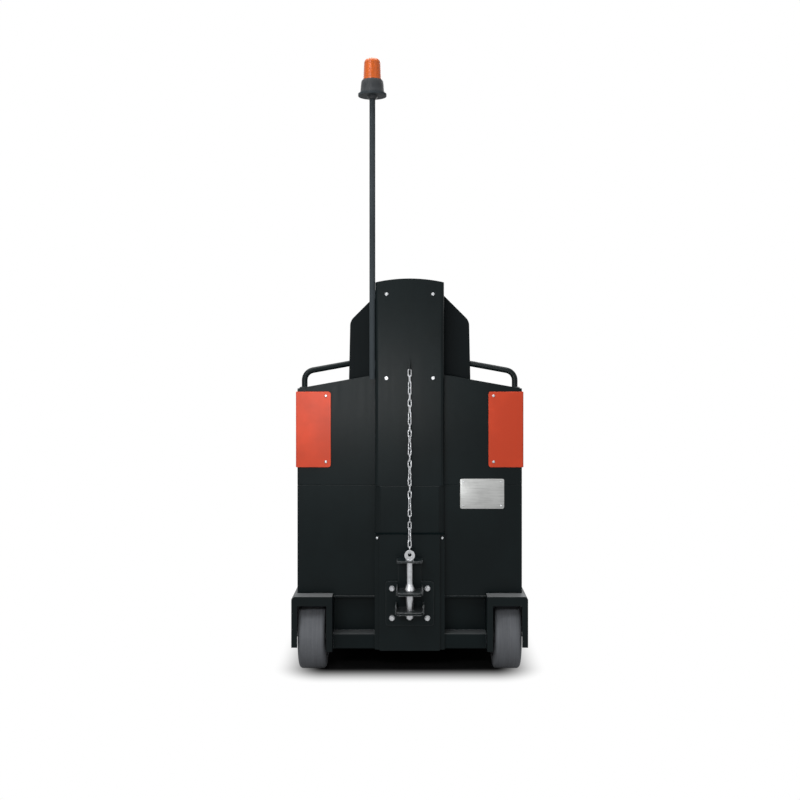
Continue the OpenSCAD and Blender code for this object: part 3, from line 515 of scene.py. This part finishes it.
class PieceOperator(bpy.types.Operator):
    """Shared by the operators that make pieces."""
    bl_options = {"REGISTER", "UNDO"}

    def execute(self, context):
        self.make(context.scene.tractor_sizes)
        return {"FINISHED"}


# Sheet metal and frame

PAINTED_NODES = ("floor_frame", "front_frame", "wheel_housing_left", "wheel_housing_right", "hitch_plate",
                 "rear_panel_lower", "rear_panel_upper", "side_panel_left", "side_panel_right",
                 "side_wing_left", "side_wing_right", "seat_box_front", "rear_deck", "column_plate", "column_cover",
                 "front_cowl", "front_bumper", "battery_cover", "tiller_base", "tiller_arm")

# Nodes with a wider or narrower rounding than the sheet metal's
EASE_FACTORS = {"front_cowl": 2.5, "front_bumper": 3.0, "side_wing_left": 3.0, "side_wing_right": 3.0,
                "hitch_plate": 0.5}

# Machined, cast and moulded nodes: finish and width of the rounding
HARD_NODES = (
    ("tow_pin", "zinc", 0.0008),
    ("drive_gearbox", "hub_steel", 0.0025),
    ("drive_motor", "hub_steel", 0.0025),
    ("drive_hub", "hub_steel", 0.0025),
    ("rear_axles", "zinc", 0.001),
    ("battery", "battery_case", 0.0015),
    ("floor_mat", "mat_rubber", 0.0012),
)


class TRACTOR_OT_sheet_metal(PieceOperator):
    """Eases the edges of the painted sheet metal, frame and guards"""
    bl_idname = "tractor.sheet_metal"
    bl_label = "Sheet metal"

    def make(self, sizes):
        for node in PAINTED_NODES:
            factor, segments = EASE_FACTORS.get(node, 1.0), 3 if node in EASE_FACTORS else 2
            eased_node(node, "black_paint", sizes.edge_ease * factor, segments)
        eased_node("rear_crossmember", "frame_paint", sizes.edge_ease)
        eased_node("beacon_pole", "pole_paint", sizes.edge_ease)
        for node in ("hitch_bracket", "jaw_cheeks"):
            eased_node(node, "coupling_paint", sizes.edge_ease * 0.8)
        eased_node("corner_guards", "guard_red", sizes.edge_ease, 3)
        eased_node("backrest_pan", "seat_shell", sizes.edge_ease * 3, 3)
        for node, finish, width in HARD_NODES:
            eased_node(node, finish, width)


# Bolts of the column plate and the coupling: distance from the middle, heights, and how far they stand out
COLUMN_BOLTS = (0.079, (1.300, 1.014), 0.007)
COUPLING_BOLTS = (0.060, (0.203, 0.303), 0.010)
# Screws of the side panels as (y, z), and of the cowl's sides as y
PANEL_SCREWS, COWL_SCREWS = ((-0.43, 0.315), (-0.43, 0.625), (-0.16, 0.180), (-0.16, 0.625)), (0.43, 0.64)


class TRACTOR_OT_fasteners(PieceOperator):
    """Adds the bolts and screws of the column plate, coupling, guards, panels and hitch plate"""
    bl_idname = "tractor.fasteners"
    bl_label = "Bolts and screws"

    def make(self, sizes):
        hitch, guards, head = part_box("hitch_plate"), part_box("corner_guards"), sizes.screw_head
        hook, flange = 0.016, 0.008
        self.bolts("column_bolts", COLUMN_BOLTS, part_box("column_plate")[0].y + hook, sizes.bolt_head)
        self.bolts("coupling_bolts", COUPLING_BOLTS, hitch[0].y - flange, sizes.hitch_bolt)
        inward, forward, down = 0.0085, 0.014, 0.014
        self.screws("hitch_plate_screws", head, [
            ((side * (hitch[1].x - inward), hitch[0].y + forward, hitch[1].z - down), REAR) for side in (-1, 1)])
        across, up, down, edge = 0.287, 0.019, 0.014, 0.016
        heights = (guards[0].z + up, guards[1].z - down)
        behind = [((side * across, guards[0].y, z), REAR) for side in (-1, 1) for z in heights]
        beside = [((side * guards[1].x, guards[1].y - edge, z), (side, 0, 0)) for side in (-1, 1) for z in heights]
        self.screws("guard_screws", head, behind + beside)
        panel, cowl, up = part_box("side_panel_right"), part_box("front_cowl"), 0.045
        body = []
        for side in (-1, 1):
            body += [((side * panel[1].x, y, z), (side, 0, 0)) for y, z in PANEL_SCREWS]
            body += [((side * cowl[1].x, y, cowl[0].z + up), (side, 0, 0)) for y in COWL_SCREWS]
        self.screws("body_screws", head, body)

    def bolts(self, name, places, face, head):
        across, heights, tall = places
        bm = bmesh.new()
        for x in (-across, across):
            for z in heights:
                hexagon(head / 2, tall, (x, face, z), REAR, bm)
        piece(name, bm, "zinc")

    def screws(self, name, head, places, tall=0.003):
        bm = bmesh.new()
        for place, way in places:
            dome(head / 2, tall, place, way, bm)
        piece(name, bm, "zinc")


class TRACTOR_OT_shadow_strip(PieceOperator):
    """Lays a near-black strip between the hitch plate and the column's cover, a painted shadow of the gap there"""
    bl_idname = "tractor.seal"
    bl_label = "Hitch plate seal"

    def make(self, sizes):
        plate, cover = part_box("hitch_plate"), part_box("column_cover")
        tall, proud, deep = 0.005, 0.0012, 0.003
        rear, front = min(plate[0].y, cover[0].y) - proud, cover[0].y + deep
        outline = [(cover[0].x, rear), (cover[1].x, rear), (cover[1].x, front), (cover[0].x, front)]
        bm = slab(outline, plate[1].z, plate[1].z + tall, lambda u, v, d: (u, v, d))
        ease(bm, 0.0008)
        piece("hitch_plate_seal", bm, "seal")


class TRACTOR_OT_louvres(PieceOperator):
    """Presses the cooling louvres in the front of the cowl"""
    bl_idname = "tractor.louvres"
    bl_label = "Cowl louvres"

    def make(self, sizes):
        face, foot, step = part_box("front_cowl")[1].y, 0.310, 0.030
        bm = bmesh.new()
        for k in range(5):
            self.louvre(bm, Vector((0, face, foot + step * k)))
        piece("cowl_louvres", bm, "black_paint", smooth=50)

    def louvre(self, bm, centre, wide=0.230, tall=0.016, proud=0.008, sink=0.0005, rows=24, steps=6, straight=0.88):
        """A hood that swells out from its top edge to an open lower lip, with round ends outside straight."""
        rings = []
        for i in range(rows + 1):
            u = math.sin(math.pi * (i / rows - 0.5))
            end = max(0.0, (abs(u) - straight) / (1 - straight))
            out = proud * math.sqrt(max(0.0, 1 - end ** 2))
            arc = [math.radians(90 * j / steps) for j in range(steps + 1)]
            ring = [(out * math.sin(t), tall * (math.cos(t) - 0.5)) for t in arc]
            lip = -tall * 0.38
            ring += [(out * 0.7, lip), (-sink, lip), (-sink, tall * 0.5)]
            rings.append([bm.verts.new(centre + Vector((u * wide / 2, y, z))) for y, z in ring])
        bridge(bm, rings, capped=True)


class TRACTOR_OT_data_plate(PieceOperator):
    """Adds the blank data plate with its rivets"""
    bl_idname = "tractor.data_plate"
    bl_label = "Blank data plate"

    def make(self, sizes):
        face, x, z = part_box("rear_panel_upper")[0].y, 0.2485, 0.617
        wide, tall, thick, corner = sizes.plate_width, sizes.plate_height, 0.0016, 0.006
        bm = slab(round_outline(wide, tall, corner), 0.0, thick, lambda u, v, d: (x + u, face - d, z + v))
        ease(bm, 0.0004)
        piece("data_plate", bm, "plate")
        bm = bmesh.new()
        rivet = [(0.003, thick), (0.0028, 0.0026), (0.0015, 0.0032), (0, 0.0034)]
        for u in (-0.43, 0.43):
            for v in (-0.40, 0.40):
                lathe(rivet, (x + u * wide, face, z + v * tall), REAR, 16, bm)
        piece("data_plate_rivets", bm, "zinc")


# Rails, chain and wheels

class TRACTOR_OT_rails(PieceOperator):
    """Bends the grab rails as smooth tubes with foot flanges"""
    bl_idname = "tractor.rails"
    bl_label = "Grab rails"

    def make(self, sizes):
        pan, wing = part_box("backrest_pan"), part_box("side_wing_right")
        corner, column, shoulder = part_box("rear_panel_upper")[1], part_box("column_plate")[1], 0.010
        rise = math.atan2(corner.z - wing[1].z, corner.x - column.x - shoulder)
        bend, radius, up = sizes.rail_bend, sizes.rail_tube / 2, Vector((0, 0, 1))
        rim = radius + 0.008
        flange = [(radius, 0.0), (rim, 0.0), (rim, 0.003), (radius + 0.005, 0.005), (radius, 0.006)]
        foot_in, foot_forward, end_in, end_back, turns, runs = 0.023, 0.015, 0.009, 0.010, 10, 4
        for side, node in ((-1, "rail_left"), (1, "rail_right")):
            foot = Vector((side * (wing[1].x - foot_in), wing[0].y + foot_forward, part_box(node)[0].z))
            end = Vector((side * (pan[1].x - end_in), pan[1].y - end_back, 0))
            way = Vector((end.x - foot.x, end.y - foot.y, 0)).normalized()
            base = foot + up * sizes.rail_lift
            points = [foot, base]
            for k in range(1, turns + 1):
                t = (math.pi / 2 - rise) * k / turns
                points.append(base + way * bend * (1 - math.cos(t)) + up * bend * math.sin(t))
            start = points[-1]
            reach = (end - start).xy.length
            points += [start + (way + up * math.tan(rise)) * reach * k / runs for k in range(1, runs + 1)]
            bm = tube(points, radius, 24)
            lathe(flange, foot, UP, 32, bm)
            piece(node + "_tube", bm, "black_paint", replaces=(node,))


class TRACTOR_OT_chain(PieceOperator):
    """Hangs the pin's chain of round welded links"""
    bl_idname = "tractor.chain"
    bl_label = "Coupling chain"

    def make(self, sizes):
        column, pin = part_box("column_plate"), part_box("tow_pin")
        forward, rise, drop, play, steps = 0.008, 0.018, 0.0105, 0.0003, 8
        top = Vector((0, column[0].y + forward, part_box("rear_panel_upper")[1].z + rise))
        bottom = Vector((0, (pin[0].y + pin[1].y) / 2, pin[1].z - drop))
        span = bottom - top
        count = 2 * round(span.length / sizes.chain_pitch / 2)
        turn = math.radians(90 + 180 * sizes.chain_twists / (count - 1))
        pitch = span.length / count
        across = (sizes.chain_width - sizes.chain_wire) / 2
        half = (pitch + play + sizes.chain_wire) / 2 - across
        way = span.normalized()
        wide = Vector((1, 0, 0))
        deep = way.cross(wide)
        bm = bmesh.new()
        for k in range(count):
            centre = top + way * pitch * (k + 0.5)
            flat = wide * math.cos(k * turn) + deep * math.sin(k * turn)
            oval = []
            for end in (1, -1):
                for j in range(steps + 1):
                    t = math.pi * j / steps + (0 if end == 1 else math.pi)
                    oval.append(centre + flat * across * math.cos(t) + way * (across * math.sin(t) + end * half))
            tube(oval, sizes.chain_wire / 2, 10, bm, True)
        piece("chain_links", bm, "zinc", replaces=("tow_chain",), smooth=60)


def tyre_mesh(node, grooves, depth=0.040, shoulder=0.012, steps=7, mould_line=(0.0012, 0.0005)):
    """A solid tyre with round shoulders, a moulding line and shallow side rings."""
    low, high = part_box(node)
    outer, half = (high.z - low.z) / 2, (high.x - low.x) / 2
    rim = outer - depth
    # Half a groove's width at its top and its floor, and its depth
    top, floor, deep = 0.0022, 0.0012, 0.0012
    profile = [(rim, -half)]
    for ring in grooves:
        at = rim + (outer - shoulder - rim) * ring
        profile += [(at - top, -half), (at - floor, -half + deep), (at + floor, -half + deep), (at + top, -half)]
    for k in range(steps + 1):
        t = math.radians(90 * k / steps)
        profile.append((outer - shoulder + shoulder * math.sin(t), -half + shoulder - shoulder * math.cos(t)))
    profile += [(outer, -mould_line[0]), (outer - mould_line[1], 0)]
    profile += [(r, -a) for r, a in reversed(profile[:-1])]
    return lathe(profile + [profile[0]], (low + high) / 2, (1, 0, 0), 96)


class TRACTOR_OT_wheels(PieceOperator):
    """Moulds the solid tyres and dresses the rear hubs"""
    bl_idname = "tractor.wheels"
    bl_label = "Wheels"

    def make(self, sizes):
        for node in ("rear_tyre_left", "rear_tyre_right", "drive_tyre"):
            tyre = tyre_mesh(node, grooves=(0.25, 0.72))
            piece(node + "_moulded", tyre, "tyre_grey", body_of_node(node), (node,), 50)
        nuts, half, tall, ring, offset = 5, 0.008, 0.007, 0.052, 0.012
        for node in ("rear_hub_left", "rear_hub_right"):
            eased_node(node, "hub_steel", 0.002)
            low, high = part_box(node)
            centre = (low + high) / 2
            bm = bmesh.new()
            for side in (-1, 1):
                for k in range(nuts):
                    t = 2 * math.pi * k / nuts
                    seat = Vector((side * offset, ring * math.cos(t), ring * math.sin(t)))
                    hexagon(half, tall, centre + seat, (side, 0, 0), bm)
            piece(node + "_nuts", bm, "zinc", body_of_node(node))


# Seat

def swollen(name, start, swell, voxel=0.0075, pressure=4.0, frames=16):
    """Swells a closed form as a cloth under pressure, each point held within swell."""
    scene = bpy.context.scene
    mesh = bpy.data.meshes.new(name + "_cover")
    start.to_mesh(mesh)
    start.free()
    holder = bpy.data.objects.new(name + "_cover", mesh)
    scene.collection.objects.link(holder)
    remesh = holder.modifiers.new("Remesh", "REMESH")
    remesh.mode = "VOXEL"
    remesh.voxel_size = voxel
    shaped = bpy.data.meshes.new_from_object(holder.evaluated_get(bpy.context.evaluated_depsgraph_get()))
    holder.modifiers.clear()
    holder.data = shaped
    before = [v.co.copy() for v in shaped.vertices]
    after = before
    cloth = holder.modifiers.new("Cloth", "CLOTH")
    cloth.settings.use_pressure = True
    cloth.settings.uniform_pressure_force = pressure
    cloth.settings.effector_weights.gravity = 0
    cloth.settings.quality = 4
    for step in range(1, frames + 1):
        scene.frame_set(step)
    result = holder.evaluated_get(bpy.context.evaluated_depsgraph_get()).to_mesh()
    after = [v.co.copy() for v in result.vertices]
    holder.modifiers.clear()
    scene.frame_set(1)
    bm = bmesh.new()
    bm.from_mesh(shaped)
    bm.verts.ensure_lookup_table()
    for k, v in enumerate(bm.verts):
        move = after[k] - before[k]
        v.co = before[k] + (move.normalized() * min(move.length, swell) if move.length > 1e-9 else move)
    bpy.data.objects.remove(holder)
    return bm


# How much smaller a cover starts than its solid, and how far its crown may pass it
COVER_INSET, CROWN_OVER = 0.006, 0.004


def faded(distance, start, reach):
    """0 up to start, rising evenly to 1 over reach."""
    return min(1.0, max(0.0, (distance - start) / reach))


def sewn(share, seams, here, deep=0.006, half=0.009):
    """Depth of the channels at here, measured across the seams; share fades them out."""
    return share * deep * sum(math.exp(-((here - seam) / half) ** 2) for seam in seams)


def upholster(name, cover, cord, body):
    """Makes a cushion's cover and its piping into pieces."""
    made = piece(name + "_padding", cover, "seat_vinyl", body, (name + "_cushion",), 80)
    made.modifiers.new("Smooth", "SUBSURF").levels = 1
    piece(name + "_piping", cord, "seat_vinyl", body, smooth=60)


def backrest_outline(inset):
    """The backrest's outline as (x, z): tapered sides and chamfered top corners."""
    low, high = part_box("backrest_cushion")
    taper, half_top = 0.009, 0.098
    foot, shoulder, top = high.x - inset, high.x - taper - inset, half_top - inset * 0.4
    base, crown = low.z + inset, high.z - inset
    corner = crown - (shoulder - top)
    return [(-foot, base), (foot, base), (shoulder, corner), (top, crown), (-top, crown), (-shoulder, corner)]


def rounded_loop(points, radius, steps=5):
    """A closed 2D outline with its corners rounded."""
    result = []
    count = len(points)
    for k, corner in enumerate(points):
        here = Vector(corner)
        to_last = Vector(points[k - 1]) - here
        to_next = Vector(points[(k + 1) % count]) - here
        cut = min(radius, to_last.length * 0.4, to_next.length * 0.4)
        first, second = here + to_last.normalized() * cut, here + to_next.normalized() * cut
        for j in range(steps + 1):
            t = j / steps
            result.append(tuple(first * (1 - t) ** 2 + here * 2 * t * (1 - t) + second * t ** 2))
    return result


def sewn_piping(bm, corners, radius, step=0.008, clear=0.05, proud=0.35):
    """A cord round a cushion: the outline's points, evenly spaced, drawn in to its skin."""
    skin = BVHTree.FromBMesh(bm)
    corners = [Vector(corner) for corner in corners]
    middle = sum(corners, Vector()) / len(corners)
    path = []
    for first, second in zip(corners, corners[1:] + corners[:1]):
        count = max(1, round((second - first).length / step))
        path += [first.lerp(second, k / count) for k in range(count)]
    laid = []
    for point in path:
        way = (middle - point).normalized()
        hit = skin.ray_cast(point - way * clear, way)[0]
        laid.append((hit or point) - way * radius * proud)
    for _ in range(3):
        laid = [(laid[k - 1] + laid[k] * 2 + laid[(k + 1) % len(laid)]) / 4 for k in range(len(laid))]
    return tube(laid, radius, 8, None, True)


class TRACTOR_OT_backrest(PieceOperator):
    """Upholsters the backrest: a swollen cushion with sewn channels and piping"""
    bl_idname = "tractor.backrest"
    bl_label = "Backrest cushion"

    def make(self, sizes):
        low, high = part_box("backrest_cushion")
        outline = rounded_loop(backrest_outline(COVER_INSET), 0.030)
        start = slab(outline, low.y + 0.008, high.y - 0.014, lambda u, v, d: (u, d, v))
        bm = swollen("backrest", start, sizes.cushion_swell)
        seams = [low.z + (high.z - low.z) * share for share in (0.30, 0.52, 0.74)]
        for v in bm.verts:
            v.co.y -= sewn(faded(v.co.y - low.y, 0.03, 0.04), seams, v.co.z)
            v.co.y = min(max(v.co.y, low.y + 0.001), high.y + CROWN_OVER)
        loop = rounded_loop(backrest_outline(0.0), 0.034, 8)
        cord = sewn_piping(bm, [(x, high.y - 0.026, z) for x, z in loop], sizes.piping / 2)
        upholster("backrest", bm, cord, "chassis")


class TRACTOR_OT_seat(PieceOperator):
    """Upholsters the seat: a swollen cushion with sewn channels and piping"""
    bl_idname = "tractor.seat"
    bl_label = "Seat cushion"

    def make(self, sizes):
        low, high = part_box("seat_cushion")
        middle = (low + high) / 2
        width, depth = high.x - low.x, high.y - low.y
        plan = round_outline(width - COVER_INSET * 2, depth - COVER_INSET * 2, 0.040)
        outline = [(middle.x + u, middle.y + v) for u, v in plan]
        start = slab(outline, low.z + 0.006, high.z - 0.020, lambda u, v, d: (u, v, d))
        bm = swollen("seat", start, sizes.cushion_swell)
        seams = [middle.y + share * depth for share in (-0.28, 0.0, 0.28)]
        for v in bm.verts:
            upper = faded(v.co.z - low.z, 0.04, 0.04)
            u, w = (v.co.x - middle.x) / (width / 2), (v.co.y - middle.y) / (depth / 2)
            v.co.z += upper * 0.006 * max(0.0, 1 - u * u) * max(0.0, 1 - w * w)
            v.co.z -= sewn(upper, seams, v.co.y)
            v.co.z = min(max(v.co.z, low.z + 0.0005), high.z + CROWN_OVER)
        loop = [(middle.x + u, middle.y + v) for u, v in round_outline(width, depth, 0.046, 8)]
        cord = sewn_piping(bm, [(x, y, high.z - 0.030) for x, y in loop], sizes.piping / 2)
        upholster("seat", bm, cord, "seat_lid")


# Beacon and controls

class TRACTOR_OT_beacon(PieceOperator):
    """Moulds the beacon's ribbed amber lens, its stepped base and the socket on the pole"""
    bl_idname = "tractor.beacon"
    bl_label = "Beacon"

    def make(self, sizes):
        centre, radius, height = self.stand("beacon_lens")
        profile = [(0, 0.001), (radius * 0.8, 0.001), (radius, 0.0005)]
        steps, taper, ring, side = sizes.lens_steps, 0.0025, 0.0011, 0.80
        for k in range(steps):
            for part, proud in ((0.15, 0.0), (0.5, ring), (0.85, 0.0)):
                along = (k + part) / steps
                profile.append((radius - taper * along - ring + proud, 0.002 + along * height * side))
        for k in range(1, 8):
            t = math.radians(90 * k / 7)
            reach = (radius - taper - ring) * math.cos(t) ** 0.6 if k < 7 else 0
            profile.append((reach, height * (side + (1 - side) * math.sin(t))))
        self.turned("beacon_lens_ribbed", profile, centre, "lens_amber", ("beacon_lens",), 60)
        centre, radius, height = self.stand("beacon_base")
        shares = ((0, 0), (1, 0), (1, 0.10), (0.97, 0.16), (0.94, 0.5), (0.90, 0.86), (0.86, 0.94), (0.80, 0.97),
                  (0.80, 1), (0, 1))
        profile = [(radius * across, height * up) for across, up in shares]
        self.turned("beacon_base_moulded", profile, centre, "dark_plastic", ("beacon_base",), 30)
        under_disc = centre - Vector((0, 0, 0.008))
        profile = [(0, 0), (0.018, 0), (0.0175, -0.002), (0.0145, -0.009), (0.0135, -0.010), (0, -0.010)]
        self.turned("beacon_socket", profile, under_disc, "dark_plastic", (), 30)

    def stand(self, node):
        """The foot of a round node's axis, its radius and its height."""
        low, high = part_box(node)
        return Vector(((low.x + high.x) / 2, (low.y + high.y) / 2, low.z)), (high.x - low.x) / 2, high.z - low.z

    def turned(self, name, profile, centre, finish, replaces, smooth):
        piece(name, lathe(profile, centre, UP, 64), finish, "chassis", replaces, smooth)


class TRACTOR_OT_tiller(PieceOperator):
    """Dresses the tiller head with thumb levers, buttons and a rear push plate"""
    bl_idname = "tractor.tiller"
    bl_label = "Tiller head"

    def make(self, sizes):
        eased_node("tiller_head", "dark_plastic", 0.006, 4)
        pivot, lean, reach, face = (0, 0.595, 0.920), math.radians(30), 0.430, -0.026
        turn = Matrix.Translation(pivot) @ Matrix.Rotation(lean, 4, "X") @ Matrix.Translation((0, 0, reach))
        lever = [(0, 0.0), (0.013, 0.0), (0.016, 0.004), (0.016, 0.014), (0.013, 0.018), (0, 0.018)]
        button = [(0.0075, 0.0), (0.0075, 0.003), (0.006, 0.005), (0, 0.005)]
        bm = bmesh.new()
        for side in (-1, 1):
            lathe(lever, (side * 0.035, -0.004, 0.048), (side, 0, 0), 32, bm)
            lathe(button, (side * 0.018, face, 0.020), REAR, 24, bm)
        bmesh.ops.transform(bm, matrix=turn, verts=bm.verts)
        piece("tiller_levers", bm, "battery_case", "tiller")
        outline = round_outline(0.044, 0.034, 0.008)
        bm = slab(outline, 0.0, 0.004, lambda u, v, d: (u, face - d, v - 0.028))
        ease(bm, 0.0012)
        bmesh.ops.transform(bm, matrix=turn, verts=bm.verts)
        piece("tiller_push_plate", bm, "control_red", "tiller")


class TRACTOR_OT_console(PieceOperator):
    """Dresses the console: stop button, key switch and a blank gauge"""
    bl_idname = "tractor.console"
    bl_label = "Console"

    def make(self, sizes):
        eased_node("cowl_console", "dark_plastic", 0.004, 3)
        low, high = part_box("console_controls")
        button = [(0, 0), (0.022, 0), (0.022, 0.003), (0.012, 0.004), (0.011, 0.010), (0.019, 0.011),
                  (0.020, 0.015), (0.019, 0.020), (0.014, 0.0235), (0, 0.024)]
        bm = lathe(button, (high.x - 0.020, high.y - 0.020, low.z), UP, 48)
        piece("stop_button", bm, "control_red", replaces=("console_controls",))
        x, y, tall, thick = low.x + 0.035, low.y + 0.025, 0.006, 0.0004
        case = round_outline(0.070, 0.050, 0.008)
        bm = slab(case, 0.0, tall, lambda u, v, d: (x + u, y + v, low.z + d))
        ease(bm, 0.0015)
        piece("gauge_case", bm, "dark_plastic")
        glass = round_outline(0.052, 0.030, 0.004)
        bm = slab(glass, tall, tall + thick, lambda u, v, d: (x + u, y + v + 0.004, low.z + d))
        piece("gauge_glass", bm, "battery_case")
        key = [(0, 0), (0.014, 0), (0.014, 0.003), (0.011, 0.004), (0.0105, 0.008), (0.004, 0.008), (0.004, 0.006),
               (0, 0.006)]
        bm = lathe(key, (x + 0.075, y, low.z), UP, 32)
        piece("key_switch", bm, "zinc")


# Studio

# Lamps: name, place, aim, width, height and watts
LAMPS = (
    ("top_softbox", (-0.3, -0.5, 4.0), (0, -0.3, 0.6), 2.8, 2.8, 120),
    ("rear_left_softbox", (-1.1, -2.4, 2.3), (-0.1, -0.7, 0.9), 0.9, 0.9, 26),
    ("rear_strip", (-0.28, -2.3, 0.93), (-0.15, -0.7, 0.95), 0.6, 0.10, 8),
    ("rear_right_softbox", (2.4, -4.0, 2.6), (0, -0.7, 0.9), 1.4, 1.4, 16),
    ("front_softbox", (1.2, 4.0, 3.0), (0, 0.2, 0.7), 2.4, 2.4, 70),
)
# Camera: place, focal length, sensor's width and shift
CAMERA_PLACE, CAMERA_LENS, CAMERA_SENSOR, CAMERA_SHIFT = (0, -4.197, 1.086), 46.0, 36.0, (-0.0121, -0.0538)
# Strength of the surround and of the floor on the object, where 1 is the white that the eye sees
SURROUND_LIT, FLOOR_LIT = 0.24, 0.25
# Floor: half its width, its drop below the wheels and the near-black colour of the shadow painted on it
FLOOR_HALF, FLOOR_DROP, PAINTED_FLOOR_SHADOW = 14, 0.0015, (0.02, 0.02, 0.02, 1)
# The painted shadow's core, in from the sides and the ends, and the distances over which it fades to white
SHADOW_IN, SHADOW_FADE = (0.11, 0.21), (0.02, 0.19)


class TRACTOR_OT_stage(bpy.types.Operator):
    """Sets the floor, the white surround, the lamps and the camera"""
    bl_idname = "tractor.stage"
    bl_label = "Studio"

    def execute(self, context):
        scene = context.scene
        scene.view_settings.view_transform = "Standard"
        self.surround(scene)
        self.floor(scene)
        for name, place, aim, width, height, power in LAMPS:
            lamp = bpy.data.lights.new(name, "AREA")
            lamp.shape = "RECTANGLE"
            lamp.size, lamp.size_y = width, height
            lamp.energy = power
            made = bpy.data.objects.new(name, lamp)
            made.location = place
            made.visible_camera = False
            made.rotation_euler = (Vector(aim) - Vector(place)).to_track_quat("-Z", "Y").to_euler()
            scene.collection.objects.link(made)
        data = bpy.data.cameras.new("photo_camera")
        data.lens, data.sensor_width = CAMERA_LENS, CAMERA_SENSOR
        data.shift_x, data.shift_y = CAMERA_SHIFT
        camera = bpy.data.objects.new("photo_camera", data)
        camera.location = CAMERA_PLACE
        camera.rotation_euler = (math.pi / 2, 0, 0)
        scene.collection.objects.link(camera)
        scene.camera = camera
        return {"FINISHED"}

    def white_to_eye(self, nodes, lit):
        """A strength that is 1 for the eye, mirrors and glass, and lit for the rest."""
        rays = ("Is Camera Ray", "Is Glossy Ray", "Is Transmission Ray")
        eye, mirror, glass = (nodes.node("ShaderNodeLightPath", out=ray) for ray in rays)
        seen = eye.math("MAXIMUM", eye.math("MAXIMUM", eye, mirror), glass)
        return lit + seen * (1 - lit)

    def surround(self, scene):
        world = bpy.data.worlds.new("white_surround")
        scene.world = world
        world.use_nodes = True
        nodes = Nodes(world.node_tree)
        back = nodes.tree.nodes["Background"]
        back.inputs["Color"].default_value = (1, 1, 1, 1)
        nodes.tree.links.new(self.white_to_eye(nodes, SURROUND_LIT).socket, back.inputs["Strength"])

    def beside_the_object(self, nodes):
        """0 on the floor under the object, where a near-black shadow is painted over the real shade, rising to 1 a
        step outside it.
        """
        corner = (CAD_BOX[1][0] - SHADOW_IN[0], CAD_BOX[1][1] - SHADOW_IN[1], 0)
        place = nodes.vector("ABSOLUTE", nodes.node("ShaderNodeTexCoord", out="Object"))
        outside = nodes.vector("MAXIMUM", nodes.vector("SUBTRACT", place, corner), (0, 0, 0))
        return nodes.vector("LENGTH", outside, out="Value").ramp(*SHADOW_FADE)

    def floor(self, scene):
        bm = bmesh.new()
        bmesh.ops.create_grid(bm, x_segments=2, y_segments=2, size=FLOOR_HALF)
        mesh = bpy.data.meshes.new("floor")
        bm.to_mesh(mesh)
        bm.free()
        floor = bpy.data.objects.new("floor", mesh)
        floor.location.z = -FLOOR_DROP
        scene.collection.objects.link(floor)
        # Painted shadow: under the object the floor is near black, deeper than the shade that falls there
        finish = Finish("white_floor", Base_Color=PAINTED_FLOOR_SHADOW, Roughness=0.9, Specular_IOR_Level=0.0)
        glow = finish.node("ShaderNodeEmission", None, {"Strength": self.white_to_eye(finish, FLOOR_LIT)})
        shadow = Signal(finish, finish.shader.outputs[0])
        both = finish.node("ShaderNodeMixShader", None, {0: self.beside_the_object(finish), 1: shadow, 2: glow})
        finish.tree.links.new(both.socket, finish.tree.nodes["Material Output"].inputs["Surface"])
        mesh.materials.append(finish.material)


class TRACTOR_OT_finishes(bpy.types.Operator):
    """Makes the finishes and gives one to every node of the frame"""
    bl_idname = "tractor.finishes"
    bl_label = "Finishes"

    def execute(self, context):
        make_finishes(context.scene.tractor_colours)
        for part in frame["record"]["subparts"]:
            node = frame["nodes"][part["node"]]
            node.data.materials.clear()
            node.data.materials.append(FINISHES[part["material_slot"]])
        return {"FINISHED"}


PIECES = (TRACTOR_OT_finishes, TRACTOR_OT_stage, TRACTOR_OT_sheet_metal, TRACTOR_OT_fasteners, TRACTOR_OT_shadow_strip,
          TRACTOR_OT_louvres, TRACTOR_OT_data_plate, TRACTOR_OT_rails, TRACTOR_OT_chain, TRACTOR_OT_wheels,
          TRACTOR_OT_backrest, TRACTOR_OT_seat, TRACTOR_OT_beacon, TRACTOR_OT_tiller, TRACTOR_OT_console)


class TRACTOR_PT_panel(bpy.types.Panel):
    """Lists the tractor's pieces, sizes and colours"""
    bl_idname = "TRACTOR_PT_panel"
    bl_label = "Tow Tractor"
    bl_space_type = "VIEW_3D"
    bl_region_type = "UI"
    bl_category = "Tow Tractor"

    def draw(self, context):
        for operator in PIECES:
            self.layout.operator(operator.bl_idname)
        for group in (context.scene.tractor_sizes, context.scene.tractor_colours):
            for key in group.__annotations__:
                self.layout.prop(group, key)


CLASSES = (TractorSizes, TractorColours, *PIECES, TRACTOR_PT_panel)


def register():
    for cls in CLASSES:
        bpy.utils.register_class(cls)
    bpy.types.Scene.tractor_sizes = PointerProperty(type=TractorSizes)
    bpy.types.Scene.tractor_colours = PointerProperty(type=TractorColours)


def unregister():
    del bpy.types.Scene.tractor_colours
    del bpy.types.Scene.tractor_sizes
    for cls in reversed(CLASSES):
        bpy.utils.unregister_class(cls)


def main():
    register()
    for operator in PIECES:
        group, name = operator.bl_idname.split(".")
        getattr(getattr(bpy.ops, group), name)()


if __name__ == "__main__":
    main()
